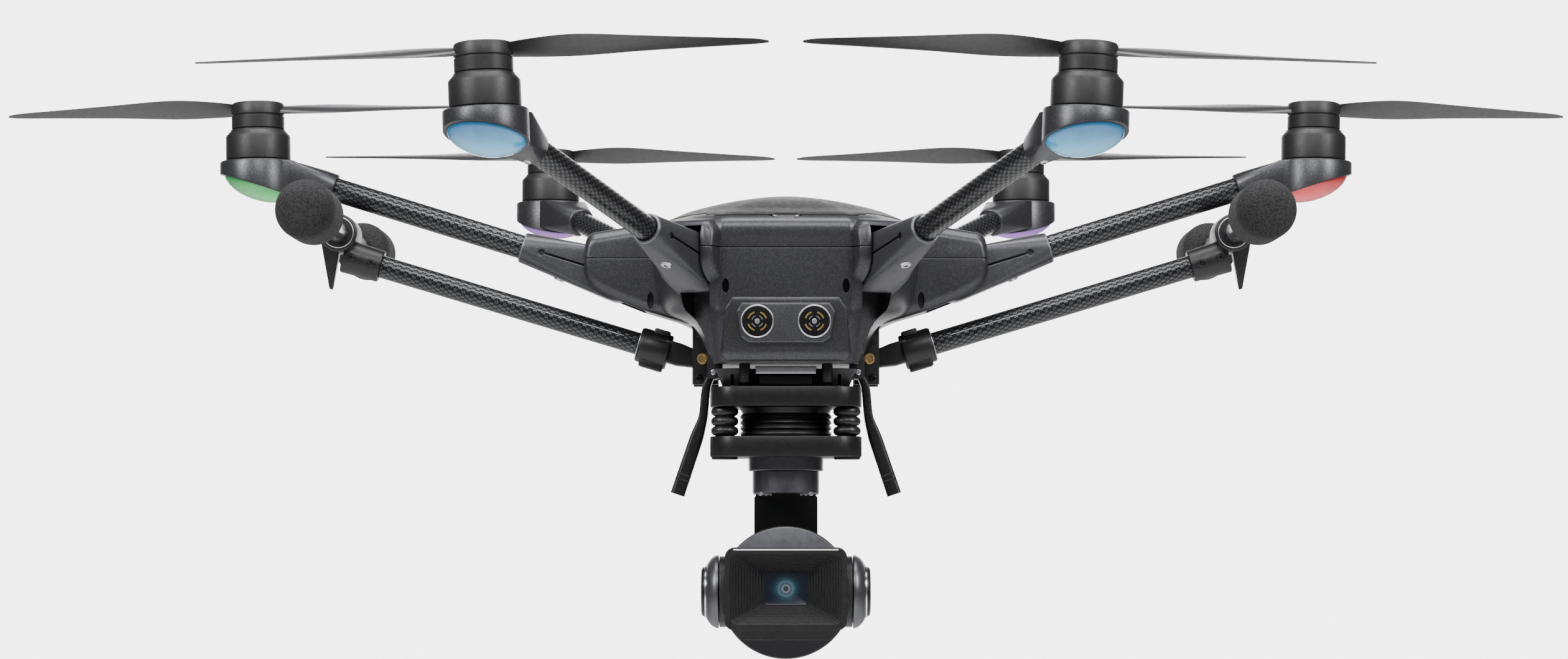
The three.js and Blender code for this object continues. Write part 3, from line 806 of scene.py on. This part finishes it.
for side, letter in ((1, "r"), (-1, "l")):
    face = at(side * 13.4, -87.9, 19.6) @ turn(90, "X")
    parts = [
        (ring_shape("ring", 7.5, 0.4), STEEL, "ring", "bright_metal"),
        (rounded_disc("cup", 7.3, -0.6, 0.12, 0.1), VISOR, "face", "satin_black"),
        (rounded_disc("hub", 1.2, 0.0, 0.4, 0.15), STEEL, "hub", "bright_metal"),
    ]
    for obj, material, word, finish in parts:
        obj.name = f"sonar_{word}_{letter}"
        fit(moved(obj, face), "airframe", material, slot=finish)
    for radius, material, tag in ((4.4, GOLD, "outer"), (2.6, STEEL, "inner")):
        dashes = None
        for k in range(4):
            arc = []
            for i in range(9):
                t = rad(90 * k + 18 + 54 * i / 8)
                arc.append((radius * math.cos(t), radius * math.sin(t)))
            section = ((0.92, 0.05), (1.08, 0.05), (1.08, 0.35), (0.92, 0.35))
            rings = [[(x * f, y * f, z) for f, z in section] for x, y in arc]
            piece = lofted("dash", rings)
            dashes = piece if dashes is None else join(dashes, piece)
        dashes.name = f"sonar_grille_{tag}_{letter}"
        fit(moved(dashes, face), "airframe", material)

# Battery, latch and boards.
case = box("battery_pack", -22.5, 22.5, -30, 101, 6, 45)
cap = hull("cap", corners(-27, 27, 99.6, 110, 8, 53) + corners(-24, 24, 110, 114, 12, 50))
case = join(bevelled(case, 1.5), bevelled(cap, 2.0, 3, 20))
grips = [box("grip", -14, 14, 112.6, 116, z, z + 1.6) for z in (20, 25, 30, 35)]
case = cut(case, box("tool", -10.5, 10.5, 103, 109.5, 49.4, 60), *grips)
fit(case, "battery", BATTERY, "battery")
tab = moved(slab("battery_latch_tab", 20, 5.6, 1.5, 51.4, 55.4, 0.5), at(0, 106.25, 0))
fit(tab, "battery_latch", BLACK, "battery_latch")
for k in range(4):
    lamp_dot = rounded_disc(f"battery_light_{k}", 1.1, -0.4, 0.3, 0.2, 24)
    moved(lamp_dot, at(-9 + 6 * k, 114, 44) @ turn(-90, "X"))
    fit(lamp_dot, "battery", LAMP_GREEN, slot="battery_case")
sheet = bevelled(box("chassis_sheet", -22.7, 22.7, -40, 84, 45.6, 47.6), 0.3)
fit(sheet, "airframe", BLACK, "chassis_plate")
board = box("main_board_sheet", -20, 20, -34, 52, 48, 49.6)
CHIPS = ((-8, -18, 9), (9, -20, 6), (0, 6, 12), (-10, 34, 7), (10, 32, 7))  # x, y, half the side
chips = [box("chip", x - h, x + h, y - h, y + h, 49.2, 53) for x, y, h in CHIPS]
fit(join(board, *chips), "airframe", BOARD, "main_board")

# ---------- arms

SLOPE = 17.15  # how steeply an arm rises, in degrees
FOLD = at(82, 0, 46.5)  # its fold hinge, on the arm that points along +X
MOUNT = at(260, 0, 98)  # the centre of its motor mount
MOUNT_LEAN = turn(-18, "Y")  # the tilt of the mount's underside and lamp


def along_x(obj):
    return moved(obj, turn(90, "Y"))


def circle(r, s, count=40, rise=0.0):
    """Points round a circle across X, at x = s."""
    turns = [2 * math.pi * i / count for i in range(count)]
    return [(s, r * math.cos(t), rise + r * math.sin(t)) for t in turns]


def cross_screw(name, r):
    """A round screw head, its top on the local XY plane, with a socket in it."""
    profile = [(0, -0.8), (r, -0.8), (r, 0.25 * r), (0.8 * r, 0.5 * r), (0, 0.58 * r)]
    long, thin, low = 0.5 * r, 0.12 * r, 0.15 * r
    across = box("tool", -long, long, -thin, thin, low, r)
    along = box("tool", -thin, thin, -long, long, low, r)
    return cut(turned(name, profile, 28), across, along)


def knuckle_shape():
    barrel = []
    for i in range(48):
        t = 2 * math.pi * i / 48
        barrel += [(12.3 * math.cos(t), y, 12.3 * math.sin(t)) for y in (-10, 10)]
    body = bevelled(hull("knuckle_form", barrel + circle(7.6, 49.2)), 1.6, 3, 34)
    slits = []
    slit_end, slit_depth = 39.6, 13.4
    for y in (-20, 6.6):
        slits.append(box("tool", 14, slit_end, y, y + slit_depth, -0.55, 0.55))
        hole = rounded_disc("tool", 1.7, -y - slit_depth, -y, 0.01, 28)
        slits.append(moved(hole, at(slit_end, 0, 0) @ turn(90, "X")))
    return cut(body, along_x(rounded_disc("tool", 6.15, 33, 60, 0.01, 48)), *slits)


def ring_form():
    """The round part of a motor mount, centred on the motor's axis."""
    top = [(18.8, 102.6), (18.4, 103.3), (17.6, 103.6), (0, 103.6)]
    ring = turned("mount_ring_form", [(0, 78), (18.0, 78), (18.8, 79), *top], 72)
    under = moved(box("under", -70, 70, -40, 40, -50, 0), at(1, 0, 91.6) @ MOUNT_LEAN)
    return cut(ring, under)


def collar_form():
    """The part of a motor mount that grips the arm tube."""
    place = FOLD @ turn(-SLOPE, "Y")
    points = [tuple(place @ Vector(p)) for p in circle(7.4, 146.5) + circle(7.7, 152)]
    points += corners(244, 249, -13.2, 13.2, 88.4, 103.3)
    return bevelled(hull("mount_collar_form", points), 0.8, 3, 34)


# Distance from the axis, chord, twist in degrees, thickness and sweep.
BLADE_TABLE = [
    (8, 12, 20, 3.4, 0),
    (20, 17, 20, 2.8, 1),
    (42, 24, 16, 2.2, 2),
    (70, 20, 12, 1.8, 1),
    (100, 14, 9, 1.4, -1.5),
    (118, 9, 8, 1.1, -3.5),
    (124, 3, 7, 0.8, -5),
]
# The blade's section, as parts of its chord and thickness.
AIRFOIL = [
    (-0.5, 0.0), (-0.47, -0.14), (-0.38, -0.28), (-0.2, -0.38), (0.05, -0.34), (0.3, -0.2),
    (0.5, 0.0), (0.35, 0.24), (0.15, 0.44), (-0.05, 0.55), (-0.2, 0.56), (-0.35, 0.46),
    (-0.46, 0.24),
]


BLADE_HEIGHT = 129


def blade_form(spin):
    """Both blades of a propeller; spin is 1 or -1, the way it turns."""
    rings = []
    for out, chord, twist, thick, sweep in spline(BLADE_TABLE, 6, closed=False):
        t = rad(twist) * spin
        ring = []
        for u, v in AIRFOIL:
            a, b = (u * chord + sweep) * spin, v * thick
            y = a * math.cos(t) - b * math.sin(t)
            z = BLADE_HEIGHT + a * math.sin(t) + b * math.cos(t)
            ring.append((min(out, BLADE_TABLE[-1][0]), y, z))
        rings.append(ring)
    one = lofted("blade_form", rings, 50)
    two = copy_of(one, "blade_two")
    two.data = one.data.copy()
    return join(one, moved(two, turn(180, "Z")), crease=50)


knuckle = knuckle_shape()
knuckle_rim = along_x(ring_shape("knuckle_rim_form", 6.75, 0.85, 48, 49.2))
tube = along_x(rounded_disc("arm_tube_form", ARM_TUBE_R, 34, 156, 0.2, 64))
ring = ring_form()
collar = collar_form()
LAMP_PROFILE = [
    (0, -6.9), (3.5, -6.75), (7.6, -6.1), (11.2, -5.0), (14.2, -3.5), (16.3, -1.8), (17.4, -0.3),
    (17.5, 1.0), (0, 1.0),
]
MOTOR_PROFILE = [
    (0, 104), (15.4, 104), (15.8, 104.4), (15.8, 115.4), (15.5, 116.2), (13.4, 118.5),
    (13.4, 118.9), (12.7, 119.3), (0, 119.3),
]
HUB_PROFILE = [
    (0, 119.4), (12.5, 119.4), (12.9, 119.8), (12.9, 125.5), (12.3, 125.8), (12.3, 126.3),
    (12.9, 126.6), (12.9, 131.2), (12.3, 132.2), (11.2, 132.6), (4.2, 132.6), (3.6, 132.0),
    (0, 132.0),
]
dome = moved(turned("lamp_form", LAMP_PROFILE, 64, 60), at(0, 0, 91.3) @ MOUNT_LEAN)
lamp_rim = moved(ring_shape("lamp_rim_form", 17.8, 0.5, 64), at(0, 0, 91.6) @ MOUNT_LEAN)
can = turned("motor_form", MOTOR_PROFILE, 72)
hub = turned("hub_form", HUB_PROFILE, 72)
blades = {spin: blade_form(spin) for spin in (1, -1)}
screw = cross_screw("screw_form", 1.9)
rivet = cross_screw("rivet_form", 2.9)

# Each arm is drawn along +X and turned into place; the middle two are part of the airframe.
for name, angle, lean, spin, lamp_look in ARMS:
    carrier = "airframe" if name in ("mr", "ml") else f"arm_{name}"
    rotor = f"rotor_{name}"
    out = turn(angle, "Z")
    along = out @ FOLD @ turn(-SLOPE, "Y")
    leaning = out @ MOUNT @ turn(-angle, "Z") @ turn(lean, "Y")
    head = leaning @ turn(angle, "Z") @ at(0, 0, -98)
    flat_head = leaning @ at(0, 0, -98)
    under_collar = along @ at(150, 0, -7.3) @ turn(180, "X")
    under_knuckle = along @ at(28, 0, -9.0) @ turn(174, "Y")
    pieces = (
        (knuckle, "knuckle_body", carrier, KNUCKLE, "knuckle", along),
        (knuckle_rim, "knuckle_rim", carrier, LIP, None, along),
        (tube, "arm_tube", carrier, ARM_CARBON, "tube", along),
        (ring, "mount_ring", carrier, SHELL, "mount", head),
        (collar, "mount_collar", carrier, SHELL, None, out),
        (dome, "lamp_dome", carrier, lamp_look, None, head),
        (lamp_rim, "lamp_rim", carrier, BLACK, None, head),
        (can, "motor_can", rotor, MOTOR, "motor", head),
        (hub, "propeller_hub", rotor, MOTOR, None, head),
        (blades[spin], "propeller_blades", rotor, BLADE, "propeller", flat_head),
        (screw, "collar_screw", carrier, STEEL, None, under_collar),
        (rivet, "knuckle_screw", carrier, STEEL, None, under_knuckle),
    )
    for form, word, rider, finish, node, place in pieces:
        nodes = [f"{node}_{name}"] if node else []
        fit(copy_of(form, f"{word}_{name}"), rider, finish, *nodes, matrix=place)

forms = (knuckle, knuckle_rim, tube, ring, collar, dome, lamp_rim, can, hub, rivet)
for form in (*forms, *blades.values()):
    bpy.data.objects.remove(form)

# ---------- landing gear

MIRROR = Matrix.Scale(-1, 4, (1, 0, 0))
GEAR_HINGE = at(40.6, 0, 5.5)
GEAR_SLOPE = 16.7  # how steeply a raised leg rises, in degrees
DROP = -1.4  # how far the leg's axis lies under its hinge
FOOT_X, FOOT_Z = 219.2, 67.6  # the foot bar's axis, gear raised
GEAR_PIN_PROFILE = [
    (0, -14.9), (2.7, -14.9), (3.0, -14.6), (3.0, 14.6), (2.7, 15.3), (1.9, 15.4), (1.7, 14.7),
    (0, 14.7),
]


def side_fit(obj, side, body, material, *nodes, matrix=at(0, 0, 0)):
    """fit() for a piece drawn on the right, mirrored for the left."""
    if side < 0:
        moved(obj, MIRROR)
        matrix = MIRROR @ matrix @ MIRROR
    return fit(obj, body, material, *nodes, matrix=matrix)


def side_screws(word, side, letter, body, places):
    for k, place in enumerate(places):
        fixing = copy_of(screw, f"{word}_screw_{letter}_{k}")
        fixing.data = screw.data.copy()
        side_fit(fixing, side, body, BLACK, matrix=place @ turn(90, "X"))


for side, letter in ((1, "r"), (-1, "l")):
    body = f"gear_{letter}"
    leg = GEAR_HINGE @ turn(-GEAR_SLOPE, "Y")
    far = leg.inverted() @ Vector((FOOT_X, 0, FOOT_Z))
    plates = join(
        box("bracket", 33.2, 45.6, -14.6, -11.4, -7, 22.4),
        box("rear", 33.2, 45.6, 11.4, 14.6, -7, 22.4),
        box("inner", 33.2, 34.8, -14.6, 14.6, 1.6, 22.4),
        box("top", 33.2, 45.6, -14.6, 14.6, 20.4, 22.4),
    )
    plates = bevelled(plates, 0.5, 2)
    plates.name = f"gear_bracket_plates_{letter}"
    side_fit(plates, side, "airframe", GEAR, f"gear_bracket_{letter}")
    pin = turned(f"gear_pin_{letter}", GEAR_PIN_PROFILE, 36)
    side_fit(pin, side, "airframe", BRASS, matrix=GEAR_HINGE @ turn(90, "X"))
    spots = [at(x, -14.6, z) for x, z in ((41.9, 17.5), (42.5, -4.0), (36.2, -4.0))]
    side_screws("bracket", side, letter, "airframe", spots)

    eye = moved(rounded_disc("clamp_eye", 5, -10.8, 10.8, 0.6, 48), turn(90, "X"))
    link = corners(0, 12, -6, 6, -4.2, 3.2) + corners(12, 20, -7, 7, DROP - 5, DROP + 6)
    link = bevelled(hull("link", link), 0.8)
    block = hull("block", circle(8.6, 17, 40, DROP) + circle(8.6, 32.4, 40, DROP))
    lug = box("lug", 19, 27, -4, 4, DROP + 6, DROP + 10)
    ear = box("ear", 18, 30, -5, 5, DROP - 10.4, DROP - 6)
    clamp = join(eye, link, bevelled(block, 0.9), bevelled(lug, 0.8), bevelled(ear, 1.0))
    clamp.name = f"leg_clamp_block_{letter}"
    side_fit(clamp, side, body, GEAR, f"leg_clamp_{letter}", matrix=leg)
    shine = along_x(ring_shape(f"clamp_rim_{letter}", 8.0, 0.28, 48, 32.5))
    side_fit(moved(shine, at(0, 0, DROP)), side, body, STEEL, matrix=leg)
    shaft = along_x(rounded_disc(f"leg_shaft_{letter}", LEG_TUBE_R, 19, 177, 0.2, 64))
    side_fit(shaft, side, body, LEG_CARBON, f"leg_tube_{letter}", matrix=leg @ at(0, 0, DROP))

    socket = hull("tee_socket", circle(7.8, 165, 40, DROP) + circle(8.3, 184, 40, DROP))
    socket = bevelled(socket, 0.7, 3, 34)
    foot = at(far.x, 0, far.z) @ turn(90, "X")
    barrel = moved(rounded_disc("barrel", 9.2, -12, 12, 1.0, 56), foot)
    fin_top = corners(far.x - 1.6, far.x + 7.4, -4.2, 4.2, far.z - 7.2, far.z - 5)
    fin_tip = corners(far.x - 4.2, far.x - 2.6, -1.3, 1.3, far.z - 27.3, far.z - 26)
    fin = hull("fin", fin_top + fin_tip)
    tee = join(socket, barrel, bevelled(fin, 1.0, 3, 25))
    tee.name = f"foot_tee_body_{letter}"
    side_fit(tee, side, body, GEAR, f"foot_tee_{letter}", matrix=leg)
    spots = [leg @ at(s, -7.9, DROP) for s in (169.5, 179.5)]
    side_screws("tee", side, letter, body, spots)
    bright = moved(ring_shape(f"tee_rim_{letter}", 7.4, 0.35, 56, 12.0), foot)
    side_fit(bright, side, body, STEEL, matrix=leg)

    bar = moved(rounded_disc(f"foot_bar_rod_{letter}", 5, -134, 145, 1.0, 48), turn(90, "X"))
    side_fit(bar, side, body, LEG_CARBON, f"foot_bar_{letter}", matrix=at(FOOT_X, 0, FOOT_Z))
    pad_r, pad_length = 13.9, 50
    pad_end = []
    for k in range(13):
        t = k / 12
        pad_end.append((pad_r * math.sqrt(1 - (1 - t) ** 2.2), 11.0 * t ** 1.4))
    pad_profile = pad_end + [(pad_r, pad_length / 2)]
    pad_profile += [(r, pad_length - z) for r, z in reversed(pad_end)]
    for word, y in (("front", -147), ("rear", 86)):
        pad = moved(turned(f"foam_pad_{word}_{letter}", pad_profile, 64, 50), turn(-90, "X"))
        side_fit(pad, side, body, FOAM, matrix=at(FOOT_X, y, FOOT_Z))

# ---------- gimbal

YAW = at(0, -45, 0)
DAMPERS = (("fl", -29, -63), ("fr", 29, -63), ("rear", 0, -20.5))
top_plate = bevelled(moved(slab("isolator_top", 72, 60, 14, -19.6, -10.2), YAW), 0.5, 2)
fit(top_plate, "airframe", BLACK, "gimbal_plate_top")
dock_points = []
for x, y in outline(60, 44, 8):
    dock_points += [(x * f, -45 + y * f, z) for f, z in ((1.0, -10.4), (1.12, -1.5))]
dock = hull("dock_frustum", dock_points)
slots = [box("tool", x, x + 1.4, -90, -55, -9.6, -4.5) for x in (-26, -22, -12, 10.6, 20.6, 24.6)]
notch = box("tool", -18, 18, -80, -57.4, -9.7, 0)
fit(cut(dock, notch, *slots), "airframe", GEAR)
for side, letter in ((1, "r"), (-1, "l")):
    post = rounded_disc(f"dock_post_{letter}", 2.6, -8.6, 0.6, 0.5, 32)
    fit(moved(post, at(19.5 * side, -70.5, 0)), "airframe", GEAR)
latch_bar = bevelled(box("latch_bar", -14.5, 14.5, -70, -61, -4.4, -0.6), 0.6, 3)
fit(latch_bar, "gimbal_latch", STEEL, "gimbal_latch")
latch_block = bevelled(box("latch_block", -12.5, 12.5, -69, -61, -9.4, -5.0), 0.6, 3)
fit(latch_block, "gimbal_latch", BLACK)

damper_profile = [(0, -33.6), (4.2, -33.6)]
for k in range(3):
    top = -33.4 + 4.6 * k
    for i in range(9):
        t = rad(-80 + 160 * i / 8)
        damper_profile.append((4.4 + 2.15 * math.cos(t), top + 2.25 + 2.2 * math.sin(t)))
damper_profile += [(4.2, -19.7), (0, -19.7)]
for word, x, y in DAMPERS:
    damper = turned(f"damper_{word}_bellows", damper_profile, 48, 60)
    fit(moved(damper, at(x, y, 0)), "airframe", RUBBER, f"damper_{word}")
sleeve_profile = [(0, -33.6), (21.8, -33.6), (22.0, -33.0)]
for k in range(4):
    base = -32.8 + 2.7 * k
    sleeve_profile += [(21.6, base), (22.0, base + 0.5), (21.6, base + 1.6), (20.9, base + 2.2)]
sleeve_profile += [(21.2, -21.6), (22.4, -19.8), (0, -19.8)]
fit(moved(turned("centre_sleeve", sleeve_profile, 72, 50), YAW), "airframe", RUBBER, "bellows")
low_plate = bevelled(moved(slab("isolator_bottom", 72, 60, 14, -43.4, -33.7), YAW), 0.5, 2)
fit(low_plate, "airframe", BLACK, "gimbal_plate_bottom")
for k, (_, x, y) in enumerate(DAMPERS):
    cap_piece = moved(rounded_disc(f"damper_cap_{k}", 6.2, -44.7, -43.2, 0.4, 40), at(x, y, 0))
    fit(cap_piece, "airframe", RUBBER)
stator_profile = [(0, -49.8), (17.5, -49.8), (17.9, -49.4), (17.9, -43.2), (0, -43.2)]
stator = moved(turned("yaw_stator", stator_profile, 72), YAW)
fit(stator, "airframe", GUNMETAL)
bell_profile = [(0, -60.7), (15.5, -60.7), (16, -60.2), (16, -50.0), (0, -50.0)]
bell = moved(turned("yaw_bell", bell_profile, 72), YAW)
fit(bell, "gimbal_yaw", GUNMETAL)
beam = corners(-9, 9, -6.6, -2.5, -54, -53) + corners(-15.5, 15.5, -6.6, -1, -107.3, -62)
arm = hull("yaw_arm_beam", beam + corners(-9, 9, -6.6, -1, -122, -121))
arm = bevelled(join(arm, box("bridge", -15.5, 15.5, -45, -6, -60.7, -51)), 0.8, 3)
fit(arm, "gimbal_yaw", BLACK, "yaw_arm")
for k, x in enumerate((-11, -8.6, 8.6, 11)):
    place = at(x, -54.5, -60.7) @ turn(180, "X")
    fit(copy_of(screw, f"yaw_screw_{k}"), "gimbal_yaw", STEEL, matrix=place)
LENS_HEIGHT = -107.3
drum = rounded_disc("roll_motor", 15.2, 5, 13, 0.8, 64)
moved(drum, at(0, 0, LENS_HEIGHT) @ turn(90, "X"))
fit(drum, "gimbal_yaw", BLACK)

LENS = at(0, -50, LENS_HEIGHT)
frame_bar = bevelled(box("yoke_bar", -37, 37, -17.4, -13.4, -116.3, -98.3), 1.2, 3)
cheeks = []
for x0, x1 in ((33.4, 37), (-37, -33.4)):
    cheeks.append(bevelled(box("cheek", x0, x1, -50, -13.4, -116.3, -98.3), 1.0, 3))
fit(join(frame_bar, *cheeks), "gimbal_roll", BLACK, "roll_yoke")
PITCH_MOTOR_PROFILE = [
    (0, 32.0), (17.4, 32.0), (17.5, 32.6), (17.0, 34.0), (15.9, 35.6), (14.2, 37.0), (12.4, 37.9),
    (0, 37.9),
]
PITCH_CAP_PROFILE = [(0, 37.4), (11.8, 37.4), (11.8, 39.2), (11.2, 40.0), (10.2, 40.3), (0, 40.3)]
for side, letter in ((1, "r"), (-1, "l")):
    sideways = LENS @ turn(90 * side, "Y")
    ear = turned(f"pitch_motor_{letter}", PITCH_MOTOR_PROFILE, 72, 60)
    fit(moved(ear, sideways), "gimbal_roll", GUNMETAL)
    cap_piece = turned(f"pitch_cap_{letter}", PITCH_CAP_PROFILE, 64)
    fit(moved(cap_piece, sideways), "gimbal_roll", BLACK)
    shine = moved(ring_shape(f"pitch_ring_{letter}", 11.9, 0.45, 64, 38.2), sideways)
    fit(shine, "gimbal_roll", CHROME)

# The camera is drawn looking along +Z, with the hood a little above its middle.
front = LENS @ turn(90, "X")
HOOD_RISE = 1.6
CAMERA_PROFILE = [
    (0, -21), (20, -20.6), (24.5, -17.5), (27.5, -11), (30.2, 0), (31.0, 5), (31.2, 9),
    (31.2, 28.4), (30.9, 29.2), (30.0, 29.6), (0, 29.6),
]
camera_body = turned("camera_shell", CAMERA_PROFILE, 96)
block = moved(slab("hood_block", 57.4, 39, 4.5, 18, 30, 0.5), at(0, HOOD_RISE, 0))
barrels = moved(rounded_disc("barrels", 16.9, -31.7, 31.7, 0.5, 72), turn(90, "Y"))
camera_body = join(camera_body, barrels, block)
STEPS = 12
FUNNEL_DEPTH = 13.0
funnel = []
for k in range(STEPS + 1):
    t = k / STEPS
    w, h, r = 52.7 - 31.8 * t, 33.3 - 17.7 * t, 3.6 - 1.8 * t
    level = 30.5 - FUNNEL_DEPTH * t
    funnel.append([(x, y + HOOD_RISE, level) for x, y in outline(w, h, r, 3)])
    if k < STEPS:
        level -= FUNNEL_DEPTH / STEPS
        inner = outline(w - 0.7, h - 0.5, r - 0.05, 3)
        funnel.append([(x, y + HOOD_RISE, level) for x, y in inner])
camera_body = cut(camera_body, lofted("tool", list(reversed(funnel)), 20), crease=20)
fit(moved(camera_body, front), "camera_head", CAMERA_BLACK, "camera")
window = slab("lens_window", 20.7, 15.4, 1.8, 17.0, 17.7, 0.1)
fit(window, "camera_head", GLASS, matrix=front @ at(0, HOOD_RISE, 0))
brow = box("hood_line", -24.6, 24.6, 19.6, 20.3, 29.6, 30.35)
fit(moved(brow, front), "camera_head", PALE_LINE)


def arc_plate(name, r, start, sweep, levels):
    """A plate cut off a disc by the chord of an arc, given in degrees."""
    turns = [rad(start + sweep * i / 32) for i in range(33)]
    return lofted(name, [[(r * math.cos(t), r * math.sin(t), z) for t in turns] for z in levels])


chin_plate = arc_plate("chin_plate", 30.6, -133.8, 87.6, (29.0, 29.9))
fit(moved(chin_plate, front), "camera_head", GLOSS)
crown_plate = bevelled(arc_plate("crown_plate", 30.7, 41, 98, (28.6, 29.85)), 0.4, 2)
fit(moved(crown_plate, front), "camera_head", GUNMETAL)

# ---------- antennas

# x, z and half the width, from the pin down.
ANTENNA = [
    (34.4, -1.2, 1.4), (38.4, -9.2, 2.0), (39.6, -24, 2.1), (42.6, -33, 3.2), (52, -61, 3.4),
]
ANTENNA_Y = -40
ANTENNA_PIN = at(34.4, ANTENNA_Y, -2.6) @ turn(90, "X")


def eased(points, reach):
    """The same line with its bends rounded."""
    line = [Vector(p) for p in points]
    made = [line[0]]
    for before, here, after in zip(line, line[1:], line[2:]):
        start = here + (before - here).normalized() * reach
        end = here + (after - here).normalized() * reach
        made += [start.lerp(here, t).lerp(here.lerp(end, t), t) for t in (0, 0.25, 0.5, 0.75, 1)]
    return [*made, line[-1]]


for side, letter in ((1, "r"), (-1, "l")):
    body = f"antenna_{letter}"
    path = [(p.x, ANTENNA_Y, p.y, p.z) for p in eased(ANTENNA, 3.2)]
    side_fit(swept(f"antenna_strip_{letter}", path, 5.2), side, body, BLACK, f"antenna_{letter}")
    eye = moved(rounded_disc(f"antenna_eye_{letter}", 3.1, -6.6, 6.6, 0.5, 40), ANTENNA_PIN)
    side_fit(eye, side, body, BLACK)
    dot = moved(rounded_disc(f"antenna_pin_{letter}", 1.5, 0, 10.2, 0.4, 32), ANTENNA_PIN)
    side_fit(dot, side, "airframe", CHROME)
    for k, (x, z) in enumerate(((48.8, -51.5), (49.6, -53.9))):
        band = box(f"antenna_groove_{letter}_{k}", -3.4, 3.4, -5.3, 5.3, -0.3, 0.3)
        place = at(x, ANTENNA_Y, z) @ turn(-18.6, "Y")
        side_fit(band, side, body, DARK, matrix=place)
bpy.data.objects.remove(screw)

# ---------- floor

floor = hull("floor", corners(-6000, 6000, -6000, 8000, -1000, -900))
pale = satin("floor_pale", (0.86, 0.86, 0.86), 0.7, grain=20.0, depth=0.02, edge=0.0)
floor.data.materials.append(pale)
